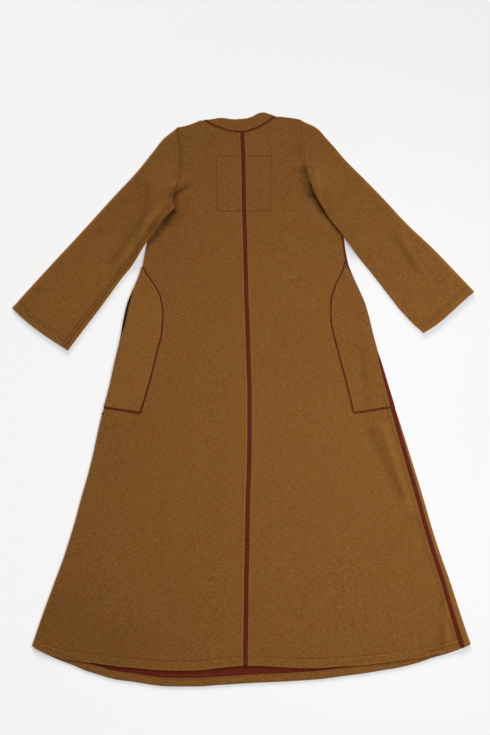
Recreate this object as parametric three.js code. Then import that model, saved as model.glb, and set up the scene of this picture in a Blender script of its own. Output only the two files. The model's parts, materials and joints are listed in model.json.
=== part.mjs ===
// A long galabeya of thick wool cloth, laid flat on a surface with its back up.
// Millimetres. +Y runs towards the neck, Z = 0 is the surface that it lies on, and the origin
// is the middle of its outline. "Left" and "right" are -X and +X, as seen from above.
//
// Every piece of cloth is a closed wall about a grid of points in the middle of its thickness.
// The front lies on the surface, the two halves of the back lie on it, and the sleeves lie over
// the sides of the body below the armholes.

import * as THREE from 'three';

// Driving dimensions.
const CLOTH = 2;
const GAP = 0.3;
const ARMHOLE_GAP = 1;
const TAPE = 1;
const TAPE_WIDTH = 10;
const PIPING_WIDTH = 3.8;
const PIPING_HEIGHT = 2.2;
const HEM_TURNUP = 18;
const TURNUP_THICKNESS = 1.5;
const HEM_FACING = 24;
const NECK_BAND_FRONT = 34;

// The round at a side edge: how far it reaches in, and its length along the cloth from the
// outermost line to where the cloth lies flat.
const EDGE_ROLL = 2.4;
const EDGE_ARC = 3.8;

// How loosely the back lies on the front, all over and near its edges.
const LOFT = 2;
const EDGE_LOFT = 1.2;
const EDGE_REACH = 24;
const HEM_LOFT = 0.3;
const HEM_LOFT_REACH = 75;

// A tape that runs under a side edge lifts the cloth by its own thickness. It does so in full
// where the side seam lies far enough underneath, and fades out from the underarm's end of it.
const TAPE_LIFT = TAPE + 2 * GAP + 0.1;
const LIFT_REACH = 33;
const LIFT_FADE = 13;
const LIFT_FULL_SEAM = 2;
const LIFT_NO_SEAM = 6;
const TAPE_END = 405;
const TAPE_END_FADE = [411, 441];

// The sides of the body, from the hem to the underarm. The seam columns tell how far the side
// seam lies from the outermost line, along the cloth: above zero on top, below zero underneath.
const SIDES = [
  { y: -640, left: -489, right: 526, seamLeft: -6, seamRight: 20, centre: 4 },
  { y: -580, left: -471, right: 508, seamLeft: -6, seamRight: 18.5, centre: 5 },
  { y: -500, left: -445, right: 486, seamLeft: -6, seamRight: 16, centre: 6 },
  { y: -400, left: -414, right: 456, seamLeft: -6, seamRight: 13, centre: 8 },
  { y: -300, left: -390, right: 431, seamLeft: -6, seamRight: 12, centre: 10 },
  { y: -200, left: -367, right: 405, seamLeft: -6, seamRight: 10, centre: 13 },
  { y: -110, left: -351, right: 381, seamLeft: -6, seamRight: 7, centre: 14 },
  { y: -50, left: -336, right: 364, seamLeft: -5, seamRight: 4, centre: 14 },
  { y: 30, left: -321, right: 343, seamLeft: -5, seamRight: 1, centre: 12 },
  { y: 110, left: -307, right: 322, seamLeft: -3, seamRight: -6, centre: 10 },
  { y: 165, left: -299, right: 311, seamLeft: -2, seamRight: -6, centre: 8 },
  { y: 220, left: -284, right: 294, seamLeft: -3, seamRight: -4.5, centre: 6 },
  { y: 275, left: -263, right: 273, seamLeft: -5.5, seamRight: -2, centre: 5 },
  { y: 305, left: -257, right: 264, seamLeft: -6, seamRight: 0, centre: 4 },
  { y: 365, left: -248, right: 256, seamLeft: -6, seamRight: -1, centre: 3 },
  { y: 430, left: -238, right: 247, seamLeft: -6, seamRight: -5, centre: 1 },
  { y: 482, left: -228, right: 237, seamLeft: -6, seamRight: -6, centre: 0 },
  { y: 560, left: -228, right: 237, seamLeft: -6, seamRight: -6, centre: -1 },
  { y: 680, left: -228, right: 237, seamLeft: -6, seamRight: -6, centre: -5 },
];

// The armhole seams, from the shoulder down to where each sleeve's lower edge begins.
const ARMHOLES = [
  { y: 452, left: -180, right: 186 },
  { y: 478, left: -185, right: 185 },
  { y: 505, left: -181, right: 182 },
  { y: 545, left: -173, right: 173 },
  { y: 570, left: -169, right: 167 },
  { y: 600, left: -168, right: 159 },
  { y: 630, left: -170, right: 155 },
  { y: 660, left: -176, right: 153 },
  { y: 707, left: -179, right: 152 },
];
const UNDERARM = 482;
const ARMHOLE_FOOT = 505;

// Shoulders and necklines, from the left armhole to the right one.
const NECKLINE = [
  { x: -179, back: 684, front: 684 },
  { x: -153, back: 690, front: 690 },
  { x: -130, back: 699, front: 699 },
  { x: -108, back: 706, front: 704 },
  { x: -85, back: 694, front: 668 },
  { x: -60, back: 684, front: 636 },
  { x: -31, back: 675, front: 617 },
  { x: -6, back: 673, front: 612 },
  { x: 20, back: 679, front: 618 },
  { x: 45, back: 691, front: 640 },
  { x: 66, back: 704, front: 676 },
  { x: 86, back: 717, front: 714 },
  { x: 119, back: 714, front: 713 },
  { x: 152, back: 707, front: 707 },
];

// The upper edge of the neck band.
const NECK_EDGE = [
  { x: -104, y: 707 },
  { x: -82, y: 710.5 },
  { x: -59, y: 714 },
  { x: -28, y: 710 },
  { x: -6, y: 711 },
  { x: 20, y: 717 },
  { x: 50, y: 730 },
  { x: 66, y: 726 },
  { x: 83, y: 719 },
];

// The hems. The front hangs lower than the back.
const HEMS = [
  { x: -489, back: -641, front: -643 },
  { x: -447, back: -661, front: -663 },
  { x: -391, back: -673, front: -684 },
  { x: -344, back: -679, front: -701 },
  { x: -259, back: -689, front: -719 },
  { x: -150, back: -696, front: -730 },
  { x: -58, back: -690, front: -727 },
  { x: 16, back: -685, front: -723.5 },
  { x: 139, back: -690, front: -718.5 },
  { x: 230, back: -688, front: -709.5 },
  { x: 322, back: -682, front: -696.5 },
  { x: 377, back: -676, front: -687.5 },
  { x: 433, back: -666, front: -670 },
  { x: 504, back: -644, front: -646 },
  { x: 526, back: -634, front: -636 },
];

// The edges of each sleeve, at equal steps from the armhole to the cuff.
const SLEEVE_LEFT = [
  { upper: [-178, 684], lower: [-180, 452] },
  { upper: [-231, 624], lower: [-216, 407] },
  { upper: [-279, 558], lower: [-250, 354] },
  { upper: [-330, 496], lower: [-276, 308] },
  { upper: [-381, 433], lower: [-310, 262] },
  { upper: [-432, 370], lower: [-342, 213] },
  { upper: [-484, 307], lower: [-374, 165] },
  { upper: [-535, 244], lower: [-407, 117] },
  { upper: [-585, 181], lower: [-439, 69] },
];
const SLEEVE_RIGHT = [
  { upper: [152, 707], lower: [183, 500] },
  { upper: [214, 656], lower: [207, 447] },
  { upper: [265, 593], lower: [240, 393] },
  { upper: [319, 532], lower: [273, 346] },
  { upper: [372, 470], lower: [306, 302] },
  { upper: [424, 407], lower: [340, 255] },
  { upper: [480, 348], lower: [374, 206] },
  { upper: [533, 286], lower: [410, 158] },
  { upper: [585, 224], lower: [451, 115] },
];

// The inner edges of the pockets, from the lower corner to the waist.
const POCKETS = [
  { y: -88, left: -255.5, right: 270.5 },
  { y: -30, left: -240, right: 259.5 },
  { y: 20, left: -228, right: 248 },
  { y: 70, left: -218, right: 236.5 },
  { y: 120, left: -208, right: 226 },
  { y: 156, left: -206.5, right: 221.5 },
  { y: 192, left: -210, right: 222.5 },
  { y: 226, left: -221.5, right: 230.5 },
  { y: 255, left: -239, right: 242 },
  { y: 280, left: -255, right: 254.5 },
  { y: 291, left: -259, right: 257.5 },
  { y: 306, left: -261, right: 260 },
];
// How much higher a pocket's lower edge lies at the side seam than at its inner corner.
const POCKET_RISE = 13;

// The largest folds, each along a line, with its width and its height.
const FOLDS = [
  { on: 'back', from: [-142, 528], to: [-178, 506], width: 14, height: 1.8 },
  { on: 'back', from: [-182, 494], to: [-188, 468], width: 22, height: -1.6 },
  { on: 'back', from: [-186, 466], to: [-232, 372], width: 22, height: -1.7 },
  { on: 'back', from: [168, 560], to: [180, 505], width: 20, height: -1.7 },
  { on: 'back', from: [184, 500], to: [220, 430], width: 18, height: -1.6 },
  { on: 'back', from: [318, -140], to: [390, -300], width: 22, height: -1.6 },
  { on: 'back', from: [350, -135], to: [412, -335], width: 22, height: 3 },
  { on: 'back', from: [461, -548], to: [457, -650], width: 12, height: -1.4 },
  { on: 'sleeve', from: [-246, 446], to: [-338, 300], width: 14, height: -2 },
  { on: 'sleeve', from: [-200, 482], to: [-316, 292], width: 13, height: 2 },
  { on: 'sleeve', from: [-300, 520], to: [-370, 400], width: 26, height: 0.8 },
  { on: 'sleeve', from: [-188, 500], to: [-222, 408], width: 14, height: 3.6 },
  { on: 'sleeve', from: [184, 512], to: [206, 448], width: 12, height: 2.4 },
  { on: 'sleeve', from: [393, 366], to: [434, 286], width: 13, height: -1.8 },
  { on: 'sleeve', from: [415, 356], to: [458, 286], width: 15, height: 1.6 },
  { on: 'sleeve', from: [206, 560], to: [300, 420], width: 28, height: 1 },
];

// Rows of the body's panels, told by their height at the side edges.
const LEVELS = [
  -640, -608, -555, -485, -415, -345, -275, -205, -145, -88, -40, 10, 60, 110, 155, 200, 230,
  255, 280, 305, 350, 400, 445, 480, 492, 505, 525, 550, 580, 610, 640, 665, 690,
];
const HEM_LEVEL = LEVELS[0];
const TOP_LEVEL = LEVELS[LEVELS.length - 1];
const HEM_REACH = 330;
const TOP_REACH = 210;

// Smooth value through the rows of a table, with no overshoot between them.
function through(rows, from, to) {
  const x = rows.map((row) => row[from]);
  const v = rows.map((row) => row[to]);
  const step = x.slice(1).map((next, i) => (v[i + 1] - v[i]) / (next - x[i]));
  const slope = v.map((_, i) => {
    if (i === 0) return step[0];
    if (i === v.length - 1) return step[i - 1];
    const before = step[i - 1];
    const after = step[i];
    return before * after <= 0 ? 0 : (2 * before * after) / (before + after);
  });
  return (at) => {
    const last = x.length - 2;
    let i = 0;
    while (i < last && at > x[i + 1]) i += 1;
    const span = x[i + 1] - x[i];
    const t = Math.min(Math.max((at - x[i]) / span, 0), 1);
    const a = v[i] + t * span * slope[i];
    const b = v[i + 1] - (1 - t) * span * slope[i + 1];
    const blend = t * t * (3 - 2 * t);
    return a + (b - a) * blend;
  };
}

function smooth(t) {
  const c = Math.min(Math.max(t, 0), 1);
  return c * c * (3 - 2 * c);
}

function mix(a, b, t) {
  return a + (b - a) * t;
}

const sideOf = { left: through(SIDES, 'y', 'left'), right: through(SIDES, 'y', 'right') };
const seamOf = { left: through(SIDES, 'y', 'seamLeft'), right: through(SIDES, 'y', 'seamRight') };
const centreOf = through(SIDES, 'y', 'centre');
const armholeOf = {
  left: through(ARMHOLES, 'y', 'left'),
  right: through(ARMHOLES, 'y', 'right'),
};
const topOf = { back: through(NECKLINE, 'x', 'back'), front: through(NECKLINE, 'x', 'front') };
const hemOf = { back: through(HEMS, 'x', 'back'), front: through(HEMS, 'x', 'front') };
const pocketOf = { left: through(POCKETS, 'y', 'left'), right: through(POCKETS, 'y', 'right') };
const neckEdge = through(NECK_EDGE, 'x', 'y');
const outward = { left: -1, right: 1 };

// 0 beside the body's side seams and 1 beside the armholes, where front and back part.
function armholePart(y) {
  return smooth((y - UNDERARM) / (ARMHOLE_FOOT - UNDERARM));
}

function outline(side, y) {
  return mix(sideOf[side](y), armholeOf[side](y), armholePart(y));
}

// Height of a fold at a place: a soft ridge or trough that dies away past both ends.
function foldHeight(on, x, y) {
  let height = 0;
  for (const fold of FOLDS.filter((one) => one.on === on)) {
    const dx = fold.to[0] - fold.from[0];
    const dy = fold.to[1] - fold.from[1];
    const length = Math.hypot(dx, dy);
    const along = ((x - fold.from[0]) * dx + (y - fold.from[1]) * dy) / length;
    const across = ((x - fold.from[0]) * dy - (y - fold.from[1]) * dx) / length;
    const past = Math.max(-along, along - length, 0);
    height += fold.height * Math.exp(-((across / fold.width) ** 2) - (past / fold.width) ** 2);
  }
  return height;
}

// How far a place lies under a sleeve: 1 well inside the sides of the body, 0 clear of them.
const SLEEVE_DROP = 26;
const SLEEVE_MARGIN = 10;
const SLEEVE_CLEAR = 2.2;
const SLEEVE_RISE_FROM = 500;
const SLEEVE_RISE_TO = 586;
function overBody(side, x, y) {
  const inside = (sideOf[side](y) - x) * outward[side] + SLEEVE_MARGIN + SLEEVE_DROP;
  const below = (SLEEVE_RISE_TO - y) / (SLEEVE_RISE_TO - SLEEVE_RISE_FROM);
  return smooth(inside / SLEEVE_DROP) * smooth(below);
}

// Middle of the front's thickness. It lies on the surface, but for the tape under its edges.
function frontHeight(side, x, y) {
  const edge = (outline(side, y) - x) * outward[side];
  const turned = smooth((LIFT_NO_SEAM - seamOf[side](y)) / (LIFT_NO_SEAM - LIFT_FULL_SEAM));
  const taped = smooth((TAPE_END_FADE[1] - y) / (TAPE_END_FADE[1] - TAPE_END_FADE[0]));
  return CLOTH / 2 + TAPE_LIFT * turned * taped * smooth((LIFT_REACH - edge) / LIFT_FADE);
}

// Middle of the back's thickness: it lies on the front, with some air between them.
function backHeight(side, x, y) {
  const edge = Math.max((outline(side, y) - x) * outward[side], 0);
  const hem = Math.max(y - hemOf.back(x), 0);
  const nearEdge = EDGE_LOFT * Math.exp(-((edge / EDGE_REACH) ** 2));
  const nearHem = HEM_LOFT * smooth(1 - hem / HEM_LOFT_REACH);
  const loft = Math.max(LOFT + nearEdge + nearHem + foldHeight('back', x, y), GAP);
  return frontHeight(side, x, y) + CLOTH + GAP + loft;
}

// Height of a place on a panel: rows bend to the hem below and to the neckline above.
function rowHeight(level, x, panel) {
  const hem = (hemOf[panel](x) - HEM_LEVEL) * (1 - smooth((level - HEM_LEVEL) / HEM_REACH));
  const top = (topOf[panel](x) - TOP_LEVEL) * (1 - smooth((TOP_LEVEL - level) / TOP_REACH));
  return level + hem + top;
}

// Outermost line of the middle of the cloth, on one row. Row and outline each depend on the
// other, and a few passes settle them.
const OUTLINE_PASSES = 3;
function outermost(side, level, panel) {
  let y = level;
  let x = outline(side, y);
  for (let pass = 0; pass < OUTLINE_PASSES; pass += 1) {
    y = rowHeight(level, x, panel);
    x = outline(side, y);
  }
  const inset = mix(-CLOTH / 2, EDGE_ROLL, armholePart(y));
  return { x: x + outward[side] * inset, y };
}

// A point of the flat loop that front and back make together. s is the way along the cloth from
// the outermost line, above zero on top and below zero underneath.
function bodyPoint(side, level, s, panel) {
  const edge = outermost(side, level, panel);
  const turn = (Math.min(Math.max(s / EDGE_ARC, -1), 1) * Math.PI) / 2;
  const flat = Math.max(Math.abs(s) - EDGE_ARC, 0);
  const x = edge.x - outward[side] * (EDGE_ROLL * (1 - Math.cos(turn)) + flat);
  const y = rowHeight(level, x, panel);
  const high = backHeight(side, x, y);
  const low = frontHeight(side, x, y);
  const z = (high + low) / 2 + ((high - low) / 2) * Math.sin(turn);
  return new THREE.Vector3(x, y, z);
}

// Where a panel ends at the side, along the cloth: at the side seam, or flat at the armhole.
function panelEnd(side, level, panel) {
  const { y } = outermost(side, level, panel);
  const flat = panel === 'back' ? EDGE_ARC : -EDGE_ARC;
  return mix(seamOf[side](y), flat, armholePart(y));
}

// Closed wall about a grid of points. A ring joins its last column to its first.
function clothWall(grid, thickness, ring = false) {
  const rows = grid.length;
  const columns = grid[0].length;
  const at = (i, j) => {
    const row = grid[Math.min(Math.max(i, 0), rows - 1)];
    const column = ring ? (j + columns) % columns : Math.min(Math.max(j, 0), columns - 1);
    return row[column];
  };
  const positions = [];
  for (const side of [0.5, -0.5]) {
    for (let i = 0; i < rows; i += 1) {
      for (let j = 0; j < columns; j += 1) {
        const across = at(i, j + 1).clone().sub(at(i, j - 1));
        const along = at(i + 1, j).clone().sub(at(i - 1, j));
        const normal = across.cross(along).normalize();
        positions.push(...at(i, j).clone().addScaledVector(normal, side * thickness).toArray());
      }
    }
  }
  const outer = (i, j) => i * columns + (j % columns);
  const inner = (i, j) => rows * columns + outer(i, j);
  const faces = [];
  const quad = (a, b, c, d) => faces.push(a, b, c, a, c, d);
  const lastColumn = ring ? columns : columns - 1;
  for (let i = 0; i < rows - 1; i += 1) {
    for (let j = 0; j < lastColumn; j += 1) {
      quad(outer(i, j), outer(i, j + 1), outer(i + 1, j + 1), outer(i + 1, j));
      quad(inner(i, j), inner(i + 1, j), inner(i + 1, j + 1), inner(i, j + 1));
    }
  }
  for (let j = 0; j < lastColumn; j += 1) {
    quad(outer(0, j), inner(0, j), inner(0, j + 1), outer(0, j + 1));
    const end = rows - 1;
    quad(outer(end, j), outer(end, j + 1), inner(end, j + 1), inner(end, j));
  }
  if (!ring) {
    for (let i = 0; i < rows - 1; i += 1) {
      quad(outer(i, 0), outer(i + 1, 0), inner(i + 1, 0), inner(i, 0));
      const end = columns - 1;
      quad(outer(i, end), inner(i, end), inner(i + 1, end), outer(i + 1, end));
    }
  }
  return solid(positions, faces);
}

// Closed geometry with its faces pointing out.
function solid(positions, faces) {
  const corner = (k) => new THREE.Vector3().fromArray(positions, faces[k] * 3);
  let volume = 0;
  for (let k = 0; k < faces.length; k += 3) {
    volume += corner(k).dot(corner(k + 1).cross(corner(k + 2))) / 6;
  }
  if (volume < 0) faces.reverse();
  const geometry = new THREE.BufferGeometry();
  geometry.setAttribute('position', new THREE.Float32BufferAttribute(positions, 3));
  geometry.setIndex(faces);
  geometry.computeVertexNormals();
  return geometry;
}

// Flat cord along a path, with six sides and a cap at each end.
const CORD_SIDES = 6;
function cord(path, width, height) {
  const positions = [];
  const faces = [];
  path.forEach((point, i) => {
    const before = path[Math.max(i - 1, 0)];
    const after = path[Math.min(i + 1, path.length - 1)];
    const along = after.clone().sub(before).normalize();
    const across = along.clone().cross(new THREE.Vector3(0, 0, 1)).normalize();
    for (let k = 0; k < CORD_SIDES; k += 1) {
      const turn = (2 * Math.PI * k) / CORD_SIDES;
      const corner = point.clone().addScaledVector(across, (Math.cos(turn) * width) / 2);
      corner.z += (Math.sin(turn) * height) / 2;
      positions.push(...corner.toArray());
    }
  });
  for (let i = 0; i < path.length - 1; i += 1) {
    for (let k = 0; k < CORD_SIDES; k += 1) {
      const a = i * CORD_SIDES + k;
      const b = i * CORD_SIDES + ((k + 1) % CORD_SIDES);
      faces.push(a, b, b + CORD_SIDES, a, b + CORD_SIDES, a + CORD_SIDES);
    }
  }
  const last = (path.length - 1) * CORD_SIDES;
  for (let k = 1; k < CORD_SIDES - 1; k += 1) {
    faces.push(0, k + 1, k, last, last + k, last + k + 1);
  }
  return solid(positions, faces);
}

// Columns of the panels beside a side seam: each lies a step along the cloth from the seam, or
// at a place on the edge round or beyond it, whichever is further in.
const BACK_EDGE = [
  { step: 0.5, place: -Infinity },
  { step: 1.6, place: -Infinity },
  { step: 3.2, place: -Infinity },
  { step: 5, place: -Infinity },
  { step: 6.2, place: 0 },
  { step: 7.5, place: EDGE_ARC / 2 },
  { step: 9, place: EDGE_ARC },
  { step: 14, place: 14 },
  { step: 30, place: 32 },
];
const FRONT_EDGE = [
  { step: 0.5, place: Infinity },
  { step: 1.6, place: Infinity },
  { step: 3.2, place: Infinity },
  { step: 5, place: Infinity },
  { step: 6.2, place: EDGE_ARC },
  { step: 7.5, place: EDGE_ARC / 2 },
  { step: 9, place: 0 },
  { step: 10, place: -EDGE_ARC / 2 },
  { step: 11, place: -EDGE_ARC },
  { step: 18, place: -18 },
  { step: 26, place: -31 },
];

const BACK_COLUMNS = 7;
function backPanel(side) {
  return LEVELS.map((level) => {
    const end = panelEnd(side, level, 'back');
    const row = BACK_EDGE.map(({ step, place }) => {
      return bodyPoint(side, level, Math.max(end + step, place), 'back');
    });
    const from = row[row.length - 1].x;
    for (let k = 1; k <= BACK_COLUMNS; k += 1) {
      const middle = centreOf(rowHeight(level, centreOf(level), 'back'));
      const x = mix(from, middle + (outward[side] * GAP) / 2, k / BACK_COLUMNS);
      const y = rowHeight(level, x, 'back');
      row.push(new THREE.Vector3(x, y, backHeight(side, x, y)));
    }
    return row;
  });
}

const FRONT_COLUMNS = 12;
function frontPanel() {
  const edgeRow = (side, level) => {
    const end = panelEnd(side, level, 'front');
    return FRONT_EDGE.map(({ step, place }) => {
      return bodyPoint(side, level, Math.min(end - step, place), 'front');
    });
  };
  return LEVELS.map((level) => {
    const left = edgeRow('left', level);
    const right = edgeRow('right', level).reverse();
    const from = left[left.length - 1].x;
    const to = right[0].x;
    const middle = [];
    for (let k = 1; k < FRONT_COLUMNS; k += 1) {
      const x = mix(from, to, k / FRONT_COLUMNS);
      const y = rowHeight(level, x, 'front');
      middle.push(new THREE.Vector3(x, y, frontHeight(x < 0 ? 'left' : 'right', x, y)));
    }
    return [...left, ...middle, ...right];
  });
}

const fronts = frontPanel();
const backs = { left: backPanel('left'), right: backPanel('right') };

// Point at a distance outside the middle of the cloth, square to it.
const PROBE_ACROSS = 0.5;
const PROBE_ALONG = 2;
function liftedPoint(side, level, s, distance) {
  const at = (up, over) => bodyPoint(side, level + up, s + over, 'back');
  const here = at(0, 0);
  const across = at(0, PROBE_ACROSS).sub(at(0, -PROBE_ACROSS));
  const along = at(PROBE_ALONG, 0).sub(at(-PROBE_ALONG, 0));
  const normal = across.cross(along).normalize().multiplyScalar(outward[side] * -1);
  return here.addScaledVector(normal, distance);
}

// Tape over a side seam, from the hem to where the sleeve covers it.
const TAPE_STEPS = [-5, -3.2, -1.6, 0, 1.6, 3.2, 5];
function sideTape(side) {
  const lift = CLOTH / 2 + 2 * GAP + TAPE / 2;
  return LEVELS.filter((level) => level < TAPE_END).map((level) => {
    const seam = panelEnd(side, level, 'back');
    return TAPE_STEPS.map((step) => liftedPoint(side, level, seam + step, lift));
  });
}

// Tape over the seam in the middle of the back.
function centreTape() {
  const lift = CLOTH / 2 + GAP + TAPE / 2;
  return LEVELS.map((level) => {
    const y = rowHeight(level, centreOf(level), 'back');
    const middle = centreOf(y);
    return [-0.5, 0, 0.5].map((part) => {
      const x = middle + part * TAPE_WIDTH;
      const side = part < 0 ? 'left' : 'right';
      const row = rowHeight(level, x, 'back');
      const below = level === TOP_LEVEL ? PIPING_WIDTH / 2 + GAP : 0;
      return new THREE.Vector3(x, row - below, backHeight(side, x, row) + lift);
    });
  });
}

// Pocket laid on the back, from beside the tape at the side seam to its curved inner edge. The
// columns beside the tape are drawn together where the pocket is narrow.
const POCKET_LEVELS = [-88, -62, -40, 10, 60, 110, 155, 200, 230, 255, 280];
const POCKET_TOP = { left: 284, right: 292 };
const PIPING_TOP = { left: 291, right: 305 };
const BESIDE_TAPE = [0, 1, 2.4, 3.8, 5.2, 9];
const POCKET_COLUMNS = 4;
const NARROW_POCKET = 16;
const POCKET_OUT = TAPE_WIDTH / 2 + 2 * GAP;
function pocketPanel(side) {
  const lift = CLOTH + 2.5 * GAP;
  return [...POCKET_LEVELS, POCKET_TOP[side]].map((level, i) => {
    const out = panelEnd(side, level, 'back') + POCKET_OUT;
    const edge = outermost(side, level, 'back').x;
    const inner = Math.abs(edge - pocketOf[side](level)) - EDGE_ROLL + EDGE_ARC;
    const width = inner - out;
    const squeeze = Math.min(width / NARROW_POCKET, 1);
    const steps = BESIDE_TAPE.map((step) => step * squeeze);
    const reach = steps[steps.length - 1];
    for (let k = 1; k <= POCKET_COLUMNS; k += 1) steps.push(mix(reach, width, k / POCKET_COLUMNS));
    const slant = POCKET_RISE * (1 - smooth(i / 2));
    return steps.map((step) => {
      return liftedPoint(side, level + slant * (1 - step / width), out + step, lift);
    });
  });
}

// Piping round a pocket: down its inner edge, round the corner and along its lower edge.
const CORNER_STEPS = 4;
const LOWER_EDGE_STEPS = 3;
function pocketPiping(side) {
  const lift = CLOTH / 2 + 2 * GAP + PIPING_HEIGHT / 2;
  const off = PIPING_WIDTH / 2 + 2 * GAP;
  const low = POCKET_LEVELS[0];
  const slopeAt = (y) => {
    const rise = pocketOf[side](y + PROBE_ALONG) - pocketOf[side](y - PROBE_ALONG);
    return rise / (2 * PROBE_ALONG);
  };
  const path = [...POCKET_LEVELS.slice(1), PIPING_TOP[side]].reverse().map((y) => {
    const length = Math.hypot(1, slopeAt(y));
    const out = (-outward[side] * off) / length;
    return [pocketOf[side](y) + out, y - out * slopeAt(y)];
  });
  const corner = pocketOf[side](low);
  for (let k = 0; k <= CORNER_STEPS; k += 1) {
    const turn = (Math.PI / 2) * (k / CORNER_STEPS);
    path.push([corner - outward[side] * off * Math.cos(turn), low - off * Math.sin(turn)]);
  }
  const end = panelEnd(side, low, 'back') + POCKET_OUT + 2 * EDGE_ROLL;
  const stop = outermost(side, low, 'back').x - outward[side] * end;
  for (let k = 1; k <= LOWER_EDGE_STEPS; k += 1) {
    const part = k / LOWER_EDGE_STEPS;
    path.push([mix(corner, stop, part), low - off + POCKET_RISE * part]);
  }
  return path.map(([x, y]) => new THREE.Vector3(x, y, backHeight(side, x, y) + lift));
}

// Straight line through a list of points, read at x.
function broken(points) {
  const sorted = [...points].sort((a, b) => a.x - b.x);
  return (x) => {
    const k = Math.max(sorted.findIndex((point) => point.x > x), 1);
    const [a, b] = [sorted[k - 1], sorted[k]];
    return mix(a.y, b.y, (x - a.x) / (b.x - a.x));
  };
}

// Crescent of cloth between two curves across the neck.
const CRESCENT_COLUMNS = 15;
const CRESCENT_ROWS = [0, 0.6, 1];
function crescent(from, to, lower, upper, height) {
  return CRESCENT_ROWS.map((part) => {
    const row = [];
    for (let j = 0; j <= CRESCENT_COLUMNS; j += 1) {
      const x = mix(from, to, j / CRESCENT_COLUMNS);
      const y = mix(lower(x), upper(x), part);
      row.push(new THREE.Vector3(x, y, height(x, y, part)));
    }
    return row;
  });
}

// The neck band turns down a little at its upper edge. Its front run narrows to its ends.
const NECK_LEFT = -100;
const NECK_RIGHT = 79;
const NECK_FOLD = 1.2;
const NECK_FRONT_INSET = 8;
const NECK_FRONT_END = 5;
function neckBand() {
  const top = [...backs.left[backs.left.length - 1], ...backs.right[backs.right.length - 1]];
  const line = broken(top);
  const lower = (x) => line(x) + 2 * GAP;
  const height = (x, y, part) => {
    return backHeight(x < 0 ? 'left' : 'right', x, topOf.back(x)) - NECK_FOLD * part ** 3;
  };
  return crescent(NECK_LEFT, NECK_RIGHT, lower, neckEdge, height);
}

function neckBandFront() {
  const middle = (NECK_LEFT + NECK_RIGHT) / 2;
  const half = (NECK_RIGHT - NECK_LEFT) / 2;
  const line = broken(fronts[fronts.length - 1]);
  const lower = (x) => line(x) + 3 * GAP;
  const upper = (x) => {
    const share = 1 - ((x - middle) / half) ** 2;
    return lower(x) + mix(NECK_FRONT_END, NECK_BAND_FRONT, share);
  };
  const from = NECK_LEFT + NECK_FRONT_INSET;
  const to = NECK_RIGHT - NECK_FRONT_INSET;
  return crescent(from, to, lower, upper, () => CLOTH / 2 + GAP);
}

const NECK_PIPING_STEPS = 22;
const NECK_PIPING_PAST = 5;
function neckPiping() {
  const lift = CLOTH / 2 + GAP + PIPING_HEIGHT / 2;
  const path = [];
  for (let k = 0; k <= NECK_PIPING_STEPS; k += 1) {
    const x = mix(NECK_LEFT - NECK_PIPING_PAST, NECK_RIGHT + NECK_PIPING_PAST, k / NECK_PIPING_STEPS);
    const y = topOf.back(x);
    path.push(new THREE.Vector3(x, y, backHeight(x < 0 ? 'left' : 'right', x, y) + lift));
  }
  return path;
}

// Bands inside the front hem: its turn-up, and the facing that begins where the turn-up ends.
const HEM_COLUMNS = 22;
function hemBand(from, to, low, width, height) {
  return [0, 1].map((part) => {
    const row = [];
    for (let j = 0; j <= HEM_COLUMNS; j += 1) {
      const x = mix(from, to, j / HEM_COLUMNS);
      row.push(new THREE.Vector3(x, hemOf.front(x) + low + width * part, height));
    }
    return row;
  });
}

// A sleeve is a flat tube: across its top from the upper edge to the lower one, and back
// underneath. It opens at the cuff and at the armhole.
const SLEEVE_STATIONS = 15;
const SLEEVE_TOP = 12;
const SLEEVE_LOFT = 2.4;
const CUFF_LOFT = 0.9;
const CUFF_LOFT_FROM = 0.8;
// The start of a sleeve bends to follow the armhole. Along the sleeve, how far that bend reaches,
// and how far the start over the body is closed.
const ARMHOLE_BOW = 0.2;
const CLOSED_START = 0.06;
const CLOSED_BELOW = 12;
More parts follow.
